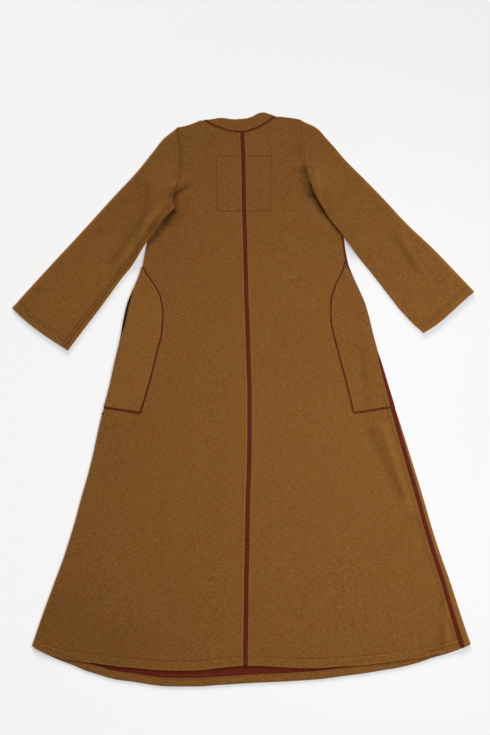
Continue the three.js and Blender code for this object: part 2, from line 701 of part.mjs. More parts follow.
// How far a cuff's edge bows out and where across the sleeve it does so most, and how far the
// head of the right sleeve stands out beyond the shoulder.
const CUFF_FULL = { left: 6, right: 5 };
const CUFF_FULLEST = { left: 0.42, right: 0.68 };
const CUFF_FULL_FROM = 0.75;
const HEAD_FULL = { left: 0, right: 6 };
const HEAD_AT = 0.075;
const HEAD_WIDTH = 0.05;
function sleeve(side, rows) {
  const edge = (name, axis) => {
    return through(rows.map((row, i) => ({ t: i / (rows.length - 1), v: row[name][axis] })), 't', 'v');
  };
  const upper = [edge('upper', 0), edge('upper', 1)];
  const lower = [edge('lower', 0), edge('lower', 1)];
  const armhole = broken(backs[side].map((row) => new THREE.Vector2(row[0].y, row[0].x)));
  const shares = sleeveShares();
  const start = rows[0];
  const end = rows[rows.length - 1];
  const along = new THREE.Vector2(end.lower[1] - end.upper[1], end.upper[0] - end.lower[0]);
  along.multiplyScalar(-outward[side]).normalize();
  const fullest = Math.log(0.5) / Math.log(CUFF_FULLEST[side]);
  const grid = [];
  for (let i = 0; i <= SLEEVE_STATIONS; i += 1) {
    const t = i / SLEEVE_STATIONS;
    const high = new THREE.Vector2(upper[0](t), upper[1](t));
    const low = new THREE.Vector2(lower[0](t), lower[1](t));
    const width = high.distanceTo(low);
    const bow = 1 - smooth(t / ARMHOLE_BOW);
    grid.push(shares.map(({ share, turn }) => {
      const inset = CLOTH / 2 + EDGE_ROLL * (1 - Math.cos((turn * Math.PI) / 2));
      const way = mix(inset, width - inset, share) / width;
      const place = high.clone().lerp(low, way);
      const y = mix(start.upper[1], start.lower[1], way);
      const sewn = y > ARMHOLE_FOOT ? armhole(y) : armholeOf[side](y);
      const straight = mix(start.upper[0], start.lower[0], way);
      place.x += (sewn + outward[side] * ARMHOLE_GAP - straight) * bow;
      const cuff = CUFF_FULL[side] * Math.sin(Math.PI * way ** fullest);
      place.addScaledVector(along, cuff * smooth((t - CUFF_FULL_FROM) / (1 - CUFF_FULL_FROM)));
      const head = HEAD_FULL[side] * Math.exp(-(((t - HEAD_AT) / HEAD_WIDTH) ** 2));
      const upperHalf = 1 - smooth(way / 0.5);
      place.x += (outward[side] * head * upperHalf) / 2;
      place.y += head * upperHalf;
      return sleevePoint(side, place, turn, t);
    }));
  }
  return grid;
}

// Columns round a sleeve: the share of its width, and the turn of the cloth, from 1 flat on top
// through 0 at an edge to -1 flat underneath.
function sleeveShares() {
  const arc = [0, 0.5, 1];
  const top = [];
  for (let j = 1; j < SLEEVE_TOP; j += 1) top.push({ share: j / SLEEVE_TOP, turn: 1 });
  const edgeUp = arc.map((turn) => ({ share: 0, turn }));
  const edgeDown = arc.map((turn) => ({ share: 1, turn })).reverse();
  const over = [...edgeUp, ...top, ...edgeDown];
  const under = over.slice(1, -1).reverse().map(({ share, turn }) => ({ share, turn: -turn }));
  return [...over, ...under];
}

function sleevePoint(side, place, turn, t) {
  const cover = overBody(side, place.x, place.y);
  const bodyTop = backHeight(side, place.x, place.y) + CLOTH / 2;
  const bed = cover * (bodyTop + SLEEVE_CLEAR);
  const foot = smooth((ARMHOLE_FOOT - place.y) / CLOSED_BELOW + 0.5);
  const closed = (1 - smooth(t / CLOSED_START)) * foot;
  const cuff = CUFF_LOFT * smooth((t - CUFF_LOFT_FROM) / (1 - CUFF_LOFT_FROM));
  const folds = Math.max(foldHeight('sleeve', place.x, place.y), -SLEEVE_LOFT);
  const open = GAP + (SLEEVE_LOFT + cuff + folds) * (1 - closed);
  const low = bed + CLOTH / 2;
  const high = low + CLOTH + open;
  const z = (low + high) / 2 + ((high - low) / 2) * Math.sin((turn * Math.PI) / 2);
  return new THREE.Vector3(place.x, place.y, z);
}

const wool = new THREE.MeshStandardMaterial({ color: '#7d5229', roughness: 0.95, metalness: 0 });
const rust = new THREE.MeshStandardMaterial({ color: '#6a2a1c', roughness: 0.85, metalness: 0 });

const galabeya = new THREE.Group();
function add(name, geometry, material) {
  const mesh = new THREE.Mesh(geometry, material);
  mesh.name = name;
  galabeya.add(mesh);
}

add('front', clothWall(fronts, CLOTH), wool);
add('back_left', clothWall(backs.left, CLOTH), wool);
add('back_right', clothWall(backs.right, CLOTH), wool);
add('sleeve_left', clothWall(sleeve('left', SLEEVE_LEFT), CLOTH, true), wool);
add('sleeve_right', clothWall(sleeve('right', SLEEVE_RIGHT), CLOTH, true), wool);
add('neck_band', clothWall(neckBand(), CLOTH), wool);
add('neck_band_front', clothWall(neckBandFront(), CLOTH), wool);
add('neck_piping', cord(neckPiping(), PIPING_WIDTH, PIPING_HEIGHT), rust);
add('centre_back_tape', clothWall(centreTape(), TAPE), rust);
for (const side of ['left', 'right']) {
  add(`side_tape_${side}`, clothWall(sideTape(side), TAPE), rust);
  add(`pocket_${side}`, clothWall(pocketPanel(side), CLOTH), wool);
  add(`pocket_piping_${side}`, cord(pocketPiping(side), PIPING_WIDTH, PIPING_HEIGHT), rust);
}

// Both bands stop short of the rounded side edges.
const TURNUP_ENDS = [-455, 492];
const FACING_ENDS = [-400, 420];
const turnupHeight = CLOTH + GAP + TURNUP_THICKNESS / 2;
const facingHeight = CLOTH + GAP + TAPE / 2;
const turnup = hemBand(...TURNUP_ENDS, 0, HEM_TURNUP, turnupHeight);
const facing = hemBand(...FACING_ENDS, HEM_TURNUP + 3 * GAP, HEM_FACING, facingHeight);
add('front_hem_turnup', clothWall(turnup, TURNUP_THICKNESS), wool);
add('front_hem_facing', clothWall(facing, TAPE), rust);

export default galabeya;
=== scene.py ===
import json
import math

import bpy
import numpy as np
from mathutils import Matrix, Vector
from mathutils.bvhtree import BVHTree

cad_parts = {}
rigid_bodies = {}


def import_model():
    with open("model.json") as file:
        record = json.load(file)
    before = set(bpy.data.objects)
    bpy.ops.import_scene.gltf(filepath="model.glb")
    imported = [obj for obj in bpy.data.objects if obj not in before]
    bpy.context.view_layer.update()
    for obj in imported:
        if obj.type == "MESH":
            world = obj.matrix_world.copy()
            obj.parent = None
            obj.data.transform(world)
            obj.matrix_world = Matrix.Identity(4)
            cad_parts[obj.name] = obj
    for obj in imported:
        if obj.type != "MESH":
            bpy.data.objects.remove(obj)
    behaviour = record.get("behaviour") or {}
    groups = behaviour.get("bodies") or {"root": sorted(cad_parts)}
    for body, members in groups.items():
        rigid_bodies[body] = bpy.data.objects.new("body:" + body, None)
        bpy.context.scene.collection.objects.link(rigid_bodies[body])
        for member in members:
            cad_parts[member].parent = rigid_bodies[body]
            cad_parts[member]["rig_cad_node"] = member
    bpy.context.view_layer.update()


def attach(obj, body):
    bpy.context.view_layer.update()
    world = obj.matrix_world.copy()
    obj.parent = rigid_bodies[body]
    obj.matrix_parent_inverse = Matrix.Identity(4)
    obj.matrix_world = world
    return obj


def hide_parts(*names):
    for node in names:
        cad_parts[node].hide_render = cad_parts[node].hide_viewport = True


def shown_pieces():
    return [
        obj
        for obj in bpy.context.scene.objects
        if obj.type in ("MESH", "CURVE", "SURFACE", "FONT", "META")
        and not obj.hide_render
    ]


# A long galabeya of thick wool cloth, laid flat with its back up. Sizes are in millimetres, +Y
# runs towards the neck, and "left" and "right" are -X and +X, as seen from above.
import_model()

# Front: one panel from the shoulders to the hem, face down under the back, of thick woven wool
# with a short nap. At the lower right it turns over the side and shows on top as a strip. Its
# hem is turned up inside and stitched, and a band of rust cloth faces it above the turn-up.
CLOTH = 2.0
GAP = 0.3
TAPE = 1.0
TAPE_WIDTH = 10.0
EDGE_ROLL = 2.4
EDGE_ARC = 3.8
# Measured along the cloth, a place on top lies this much further in than straight across.
EDGE_MORE = EDGE_ARC - EDGE_ROLL - CLOTH / 2
# A tape under a side edge lifts the cloth, in full where the side seam lies well underneath.
TAPE_LIFT = TAPE + 2 * GAP + 0.1
LIFT_REACH = 33.0
LIFT_FADE = 13.0
LIFT_FULL_SEAM = 2.0
LIFT_NO_SEAM = 6.0
TAPE_END = 405.0
TAPE_END_FADE = (411.0, 441.0)
UNDERARM = 482.0
ARMHOLE_FOOT = 505.0
OUTWARD = {"left": -1.0, "right": 1.0}


def table(columns, *rows):
    return dict(zip(columns.split(), np.array(rows, float).T))


SIDES = table(
    "y left right seam_left seam_right centre",
    (-640, -489, 526, -6, 20, 4),
    (-580, -471, 508, -6, 19.5, 5),
    (-500, -445, 486, -6, 17.5, 6),
    (-400, -414, 456, -6, 15, 8),
    (-300, -390, 431, -6, 14, 10),
    (-200, -367, 405, -6, 12, 13),
    (-110, -351, 381, -6, 9, 14),
    (-50, -336, 364, -5, 5, 14),
    (30, -321, 343, -5, 1, 12),
    (110, -307, 322, -3, -6, 10),
    (165, -299, 311, -2, -6, 8),
    (220, -284, 294, -3, -4.5, 6),
    (275, -263, 273, -5.5, -2, 5),
    (305, -257, 264, -6, 0, 4),
    (365, -248, 256, -6, -1, 3),
    (430, -238, 247, -6, -5, 1),
    (482, -228, 237, -6, -6, 0),
    (560, -228, 237, -6, -6, -1),
    (680, -228, 237, -6, -6, -5),
)
ARMHOLES = table(
    "y left right",
    (452, -180, 186),
    (478, -185, 185),
    (505, -181, 182),
    (545, -173, 173),
    (570, -169, 167),
    (600, -168, 159),
    (630, -170, 155),
    (660, -176, 153),
    (707, -179, 152),
)
NECKLINE = table(
    "x back front",
    (-179, 684, 684),
    (-153, 690, 690),
    (-130, 699, 699),
    (-108, 706, 704),
    (-85, 694, 668),
    (-60, 684, 636),
    (-31, 675, 617),
    (-6, 673, 612),
    (20, 679, 618),
    (45, 691, 640),
    (66, 704, 676),
    (86, 717, 714),
    (119, 714, 713),
    (152, 707, 707),
)
HEMS = table(
    "x back front",
    (-489, -641, -643),
    (-447, -661, -663),
    (-391, -673, -684),
    (-344, -679, -701),
    (-259, -689, -719),
    (-128, -695.5, -730),
    (-58, -690, -727),
    (16, -685, -722.5),
    (139, -690, -716.5),
    (230, -686, -707),
    (322, -678.5, -694),
    (377, -671.5, -684),
    (433, -661.5, -667.5),
    (504, -644, -646),
    (526, -634, -636),
)


def through(rows, start, value):
    """Smooth value through the rows of a table, with no overshoot between them."""
    x, v = rows[start], rows[value]
    step = np.diff(v) / np.diff(x)
    slope = np.concatenate([step[:1], np.zeros(len(v) - 2), step[-1:]])
    level = step[:-1] * step[1:] > 0
    total = np.where(level, step[:-1] + step[1:], 1)
    slope[1:-1] = np.where(level, 2 * step[:-1] * step[1:] / total, 0)

    def read(at):
        i = np.clip(np.searchsorted(x, at) - 1, 0, len(x) - 2)
        span = x[i + 1] - x[i]
        t = np.clip((at - x[i]) / span, 0, 1)
        a = v[i] + t * span * slope[i]
        b = v[i + 1] - (1 - t) * span * slope[i + 1]
        return a + (b - a) * t * t * (3 - 2 * t)

    return read


def smooth(t):
    c = np.clip(t, 0, 1)
    return c * c * (3 - 2 * c)


def mix(a, b, t):
    return a + (b - a) * t


side_of = {side: through(SIDES, "y", side) for side in OUTWARD}
seam_of = {side: through(SIDES, "y", f"seam_{side}") for side in OUTWARD}
centre_of = through(SIDES, "y", "centre")
armhole_of = {side: through(ARMHOLES, "y", side) for side in OUTWARD}
top_of = {panel: through(NECKLINE, "x", panel) for panel in ("back", "front")}
hem_of = {panel: through(HEMS, "x", panel) for panel in ("back", "front")}


def armhole_part(y):
    """0 beside the body's side seams and 1 beside the armholes."""
    return smooth((y - UNDERARM) / (ARMHOLE_FOOT - UNDERARM))


def outline(side, y):
    return mix(side_of[side](y), armhole_of[side](y), armhole_part(y))


def front_height(side, x, y):
    """Middle of the front's thickness: on the surface, but for the tape under its edges."""
    edge = (outline(side, y) - x) * OUTWARD[side]
    turned = smooth((LIFT_NO_SEAM - seam_of[side](y)) / (LIFT_NO_SEAM - LIFT_FULL_SEAM))
    taped = smooth((TAPE_END_FADE[1] - y) / (TAPE_END_FADE[1] - TAPE_END_FADE[0]))
    return CLOTH / 2 + TAPE_LIFT * turned * taped * smooth((LIFT_REACH - edge) / LIFT_FADE)


# Rows follow the hem at the bottom and the neckline at the top.
HEM_LEVEL = -640.0
TOP_LEVEL = 690.0
HEM_REACH = 330.0
TOP_REACH = {"back": 84.0, "front": 210.0}


def row_height(level, x, panel):
    hem = (hem_of[panel](x) - HEM_LEVEL) * (1 - smooth((level - HEM_LEVEL) / HEM_REACH))
    top = (top_of[panel](x) - TOP_LEVEL) * (1 - smooth((TOP_LEVEL - level) / TOP_REACH[panel]))
    return level + hem + top


def outermost(side, level, panel):
    y = level
    x = outline(side, y)
    for _ in range(3):
        y = row_height(level, x, panel)
        x = outline(side, y)
    return x + OUTWARD[side] * mix(-CLOTH / 2, EDGE_ROLL, armhole_part(y)), y


def body_point(side, level, s, panel):
    """Point of the flat loop of front and back, s along the cloth from its outermost line."""
    edge, _ = outermost(side, level, panel)
    turn = np.clip(s / EDGE_ARC, -1, 1) * math.pi / 2
    flat = np.maximum(np.abs(s) - EDGE_ARC, 0)
    x = edge - OUTWARD[side] * (EDGE_ROLL * (1 - np.cos(turn)) + flat)
    y = row_height(level, x, panel)
    high, low = back_height(side, x, y), front_height(side, x, y)
    z = (high + low) / 2 + (high - low) / 2 * np.sin(turn)
    return np.stack(np.broadcast_arrays(x, y, z), -1)


def panel_end(side, level, panel):
    """Where a panel ends, along the cloth: at the side seam, or flat at the armhole."""
    _, y = outermost(side, level, panel)
    flat = EDGE_ARC if panel == "back" else -EDGE_ARC
    return mix(seam_of[side](y), flat, armhole_part(y))


def steps(*spans):
    """Places along a line: each span is the place that it runs to and the spacing on the way."""
    places = [spans[0]]
    for to, spacing in spans[1:]:
        count = max(round((to - places[-1]) / spacing), 1)
        places.extend(np.linspace(places[-1], to, count + 1)[1:])
    return np.array(places, float)


# How the back lies on the front: with a little air, more of it near the sides and less at the hem.
LOFT = 2.1
EDGE_LOFT = 1.2
EDGE_REACH = 24.0
HEM_LOFT = -0.2
HEM_LOFT_REACH = 75.0
# Folds: each runs along a line and dies away past its ends. Left and right are its widths on the
# two sides of the line, looking from the first point to the second.
BACK_FOLDS = table(
    "x1 y1 x2 y2 left right height",
    (-152, 513, -184, 490, 10, 5, -2.6),
    (-142, 528, -178, 506, 8, 12, 2.6),
    (-182, 494, -188, 468, 26, 12, -3.0),
    (-186, 466, -232, 372, 26, 14, -3.2),
    (-148, 470, -190, 380, 46, 46, 1.6),
    (150, 604, 168, 560, 9, 20, -2.6),
    (168, 545, 180, 505, 12, 24, -3.0),
    (128, 566, 164, 572, 14, 12, 2.2),
    (184, 500, 220, 430, 12, 18, -3.0),
    (228, 415, 246, 360, 10, 12, -0.8),
    (140, 560, 185, 390, 46, 46, 1.5),
    (288, 70, 304, -90, 11, 13, -2.2),
    (304, -96, 322, -150, 11, 18, -2.2),
    (316, -140, 380, -300, 10, 22, -3.0),
    (346, -135, 402, -335, 12, 14, 4.5),
    (262, 10, 276, -90, 18, 14, 0.8),
    (330, 60, 345, -80, 14, 20, 1.0),
    (-283, -20, -290, -86, 9, 9, -1.6),
    (-262, -95, -268, -150, 14, 16, -1.8),
    (-300, -110, -300, -190, 24, 24, 1.0),
    (461, -548, 457, -650, 5.5, 6, -2.6),
    (474, -550, 476, -640, 8, 7, 1.6),
    (445, -552, 441, -645, 8, 9, 1.4),
    (60, 640, 140, 655, 30, 30, 0.5),
    (-150, 640, -90, 655, 30, 30, 0.5),
    (-330, -430, -300, -560, 60, 60, 0.6),
    (-215, -420, -190, -600, 60, 50, -0.5),
    (-90, -470, -80, -640, 55, 55, 0.5),
    (100, -380, 120, -600, 70, 60, -0.4),
    (235, -420, 270, -610, 60, 55, 0.5),
    (350, -440, 380, -600, 45, 55, -0.5),
    (-120, 330, -140, 180, 60, 50, 0.5),
    (120, 360, 140, 200, 60, 60, 0.5),
    (-60, 60, -80, -120, 70, 60, -0.4),
    (130, 60, 150, -140, 70, 70, -0.4),
)


# Painted shade darkens the cloth in a crease's hollow, and a painted highlight lightens it on a
# crease's crest: shares below and above zero, placed as the folds are.
PAINTED_LIGHT_MARKS = table(
    "x1 y1 x2 y2 left right height",
    (-152, 511, -184, 490, 5, 4, -0.55),
    (-187, 484, -185, 452, 14, 6, -0.4),
    (-189, 442, -203, 422, 22, 12, -0.68),
    (-214, 398, -244, 354, 3, 3, -0.5),
    (-222, 382, -227, 358, 3, 3, -0.35),
    (168, 560, 177, 500, 8, 20, -0.62),
    (184, 490, 206, 446, 5, 14, -0.7),
    (214, 430, 246, 384, 4, 4, -0.45),
    (-440, -560, -260, -650, 80, 90, -0.12),
    (302, -96, 314, -132, 7, 11, -0.12),
    (316, -140, 378, -290, 6, 13, -0.26),
    (348, -140, 402, -330, 10, 12, 0.14),
    (461, -548, 457, -645, 5, 6, -0.25),
    (474, -556, 476, -640, 7, 6, 0.16),
)


def from_line(x1, y1, x2, y2, x, y):
    """How far places lie to the right of a short straight line, and past its ends."""
    length = math.hypot(x2 - x1, y2 - y1)
    ux, uy = (x2 - x1) / length, (y2 - y1) / length
    along = (x - x1) * ux + (y - y1) * uy
    past = np.maximum(np.maximum(-along, along - length), 0)
    return (x - x1) * uy - (y - y1) * ux, past


def fold_height(folds, x, y):
    height = 0.0
    for x1, y1, x2, y2, left, right, rise in zip(*folds.values()):
        across, past = from_line(x1, y1, x2, y2, x, y)
        width = np.where(across > 0, right, left)
        height = height + rise * np.exp(-((across / width) ** 2) - (past / max(left, right)) ** 2)
    return height


# A doubled edge is a little thicker, and its stitching pulls the cloth into a fine groove. A seam
# or a short stitched line pulls a slightly wider one.
GROOVE_WIDTH = 1.4
SEAM_WIDTH = 1.8


def band(distance, width, rise, groove):
    raised = rise * smooth((width - distance) / 2.5 + 0.5)
    return raised - groove * np.exp(-(((distance - width) / GROOVE_WIDTH) ** 2))


BACK_HEM_BAND = 20.0
CENTRE_BAND = 13.0
SIDE_BAND = 15.0
ARMHOLE_BAND = {"left": 7.0, "right": 11.0}
# The armhole seams are pulled in, and painted shade darkens them: more so the left one.
ARMHOLE_GROOVE = {"left": 1.2, "right": 0.8}
ARMHOLE_SHADE = {"left": -0.36, "right": -0.06}
# Beside a tape the cloth swells over its seam allowance, most at this distance from the seam.
RIDGE_AT = TAPE_WIDTH / 2 + 2.6
RIDGE_WIDTH = 1.7
# The stitched square on the upper back, where cloth is doubled: a box about its middle.
SQUARE = {"x": -1.6, "y": 521.5, "half_x": 71.5, "half_y": 77.5, "lean": 0.022, "round": 5.0}
# A second stitched line runs beside its left and right edges, as a groove.
SQUARE_LINES = [[(-82, 592), (-80, 458)], [(62, 590), (61, 452)]]


def line_groove(lines, x, y):
    """Fine grooves where short straight lines of stitching pull the cloth in."""
    groove = 0.0
    for start, stop in lines:
        across, past = from_line(*start, *stop, x, y)
        groove = groove + np.exp(-((across / SEAM_WIDTH) ** 2) - (past / 2) ** 2)
    return groove


def square_distance(x, y):
    """How far a place lies outside the stitched square, below zero inside it."""
    lean = 1 + SQUARE["lean"] * (y - SQUARE["y"]) / SQUARE["half_y"]
    across = np.abs(x - SQUARE["x"]) - SQUARE["half_x"] * lean + SQUARE["round"]
    along = np.abs(y - SQUARE["y"]) - SQUARE["half_y"] + SQUARE["round"]
    outside = np.hypot(np.maximum(across, 0), np.maximum(along, 0))
    return outside + np.minimum(np.maximum(across, along), 0) - SQUARE["round"]


def beside_tape(distance, width):
    """The cloth swells beside a tape that is sewn down, over its seam allowance."""
    swell = 0.9 * np.exp(-(((distance - RIDGE_AT) / RIDGE_WIDTH) ** 2))
    return swell + band(distance, width, 0.3, 0.55)


def back_relief(side, x, y, edge):
    """Raised seams and stitched grooves of the back, over its folds."""
    relief = band(y - hem_of["back"](x), BACK_HEM_BAND, 0.3, 0.65)
    relief = relief + beside_tape(np.abs(x - centre_of(y)), CENTRE_BAND)
    on_top = smooth((seam_of[side](y) - 2) / 5) * (1 - armhole_part(y))
    relief = relief + on_top * beside_tape(edge + EDGE_MORE - seam_of[side](y), SIDE_BAND)
    sewn = armhole_part(y) * smooth((y - ARMHOLE_FOOT) / 30)
    pulled = ARMHOLE_GROOVE[side] * np.exp(-((edge / SEAM_WIDTH) ** 2))
    relief = relief + sewn * (band(edge, ARMHOLE_BAND[side], 0.5, 1.2) - pulled)
    inside = square_distance(x, y)
    relief = relief + 0.35 * smooth(-inside / 3) - 1.0 * np.exp(-((inside / GROOVE_WIDTH) ** 2))
    return relief - 0.5 * line_groove(SQUARE_LINES, x, y)


def back_height(side, x, y):
    """Middle of the back's thickness."""
    edge = np.maximum((outline(side, y) - x) * OUTWARD[side], 0)
    hem = np.maximum(y - hem_of["back"](x), 0)
    near_edge = EDGE_LOFT * np.exp(-((edge / EDGE_REACH) ** 2))
    near_hem = HEM_LOFT * smooth(1 - hem / HEM_LOFT_REACH)
    loft = LOFT + near_edge + near_hem + fold_height(BACK_FOLDS, x, y)
    loft = np.maximum(loft + back_relief(side, x, y, edge), GAP / 2)
    return front_height(side, x, y) + CLOTH + GAP + loft


def unit(v):
    return v / np.maximum(np.linalg.norm(v, axis=-1, keepdims=True), 1e-9)


def normals(grid, ring=False):
    """Direction square to a grid of points, at each of them."""
    wide = np.concatenate([grid[:, -1:], grid, grid[:, :1]], 1) if ring else np.pad(
        grid, ((0, 0), (1, 1), (0, 0)), mode="edge")
    tall = np.pad(grid, ((1, 1), (0, 0), (0, 0)), mode="edge")
    return unit(np.cross(wide[:, 2:] - wide[:, :-2], tall[2:] - tall[:-2]))


def strip(a, b, closed=True):
    """Quads between two rows of corners."""
    if closed:
        return np.stack([a, np.roll(a, -1), np.roll(b, -1), b], -1)
    return np.stack([a[:-1], a[1:], b[1:], b[:-1]], -1)


RIM = 0.7
RIM_TURNS = (45, 0, -45)


def cloth(name, grid, thickness, ring=False, nap_and_painted_light=0.0, rim_painted_light=1.0):
    """Closed wall about a grid of points in the middle of the cloth, its free edges rounded. A painted
    highlight lies by the shares given, on the cloth and at its free edges, and painted shade below 0."""
    rows, columns = grid.shape[:2]
    painted_light_amount = np.broadcast_to(nap_and_painted_light, (rows, columns)).copy()
    index = np.arange(rows * columns).reshape(rows, columns)
    normal = normals(grid, ring)
    last = columns if ring else columns - 1
    across = np.arange(columns)
    inside_row = np.clip(np.arange(rows), 1, rows - 2)
    inside_column = across if ring else np.clip(across, 1, columns - 2)
    inward = grid - grid[inside_row][:, inside_column]
    outward = unit(inward - (inward * normal).sum(-1, keepdims=True) * normal)
    if ring:
        loops = [index[0], index[-1][::-1]]
    else:
        round_it = [index[0], index[1:, -1], index[-1, -2::-1], index[-2:0:-1, 0]]
        loops = [np.concatenate(round_it)]
    flat, n, out = (a.reshape(-1, 3) for a in (grid, normal, outward))
    middle = flat.copy()
    for loop in loops:
        middle[loop] -= out[loop] * RIM
    half = thickness / 2
    points = [middle + n * half, middle - n * half]
    painted_light_amount = painted_light_amount.ravel()
    painted_rim_light = np.broadcast_to(rim_painted_light, (rows, columns)).ravel()
    for loop in loops:
        painted_light_amount[loop] = painted_rim_light[loop]
    painted_light_rows = [painted_light_amount, painted_light_amount]
    count = 2 * len(flat)
    faces = []
    for i, sign in ((index, 1), (index + len(flat), -1)):
        right = np.roll(i, -1, 1)[:, :last]
        i = i[:, :last]
        quads = np.stack([i[:-1], right[:-1], right[1:], i[1:]], -1).reshape(-1, 4)
        faces.append(quads[:, ::sign])
    for loop in loops:
        before = loop
        for turn in RIM_TURNS:
            a = math.radians(turn)
            here = middle[loop] + out[loop] * RIM * math.cos(a) + n[loop] * half * math.sin(a)
            points.append(here)
            painted_light_rows.append(painted_rim_light[loop])
            row = np.arange(count, count + len(loop))
            faces.append(strip(before, row)[:, ::-1])
            count += len(loop)
            before = row
        faces.append(strip(before, loop + len(flat))[:, ::-1])
    made = solid(name, np.concatenate(points), np.concatenate(faces))
    # This attribute holds painted light: painted highlight above zero and painted shade below it.
    values = made.data.attributes.new("nap_and_painted_light", "FLOAT", "POINT")
    values.data.foreach_set("value", np.concatenate(painted_light_rows).astype(np.float32))
    return made


def solid(name, points, faces):
    """Mesh object from corners in millimetres, with its faces pointing out."""
    a, b, c = (points[faces[:, k]] for k in (0, 1, 2))
    d = points[faces[:, 3]]
    volume = (a * np.cross(b, c) + a * np.cross(c, d)).sum()
    if volume < 0:
        faces = faces[:, ::-1]
    mesh = bpy.data.meshes.new(name)
    mesh.from_pydata((points / 1000).tolist(), [], faces.tolist())
    mesh.shade_smooth()
    made = bpy.data.objects.new(name, mesh)
    bpy.context.scene.collection.objects.link(made)
    return made


def to_linear(code):
    """Linear colour of an sRGB hex value."""
    values = [int(code[k : k + 2], 16) / 255 for k in (1, 3, 5)]
    return [c / 12.92 if c <= 0.04045 else ((c + 0.055) / 1.055) ** 2.4 for c in values] + [1]


def node(tree, kind, inputs=None, **settings):
    """Adds a shader node with its settings, and sets or links its inputs."""
    made = tree.nodes.new(kind)
    for name, value in settings.items():
        setattr(made, name, value)
    for name, value in (inputs or {}).items():
        if isinstance(value, bpy.types.NodeSocket):
            tree.links.new(value, made.inputs[name])
        else:
            made.inputs[name].default_value = value
    return made


def new_material(name):
    material = bpy.data.materials.new(name)
    material.use_nodes = True
    material.node_tree.nodes.clear()
    return material, material.node_tree


def ramp(tree, factor, *stops):
    """Colour ramp: each stop is a place and a colour."""
    made = node(tree, "ShaderNodeValToRGB", {"Fac": factor})
    scale = made.color_ramp
    while len(scale.elements) < len(stops):
        scale.elements.new(0.5)
    for element, (place, code) in zip(scale.elements, stops):
        element.position = place
        element.color = to_linear(code)
    return made.outputs["Color"]


# Fulled wool, woven of heathered yarn: dull, with a short nap; painted highlight where it catches
# light.
# Yarn spacing is 1.3 mm; the streaks of darker and lighter yarn are drawn 1.6 mm wide and 9.5 mm
# long, coarser than single threads, so that they show.
YARN = 1.3
STREAK = {"length": 9.5, "width": 1.6}
WOOL_DARK = "#6a441a"
WOOL = "#7e5222"
WOOL_LIGHT = "#91622d"
PAINTED_HIGHLIGHT = "#b98237"
PAINTED_SHADE = "#3b2206"
PAINTED_HIGHLIGHT_SHARE = 0.75
# A wave texture repeats at this length in its own units.
WAVE_LENGTH = math.pi / 10


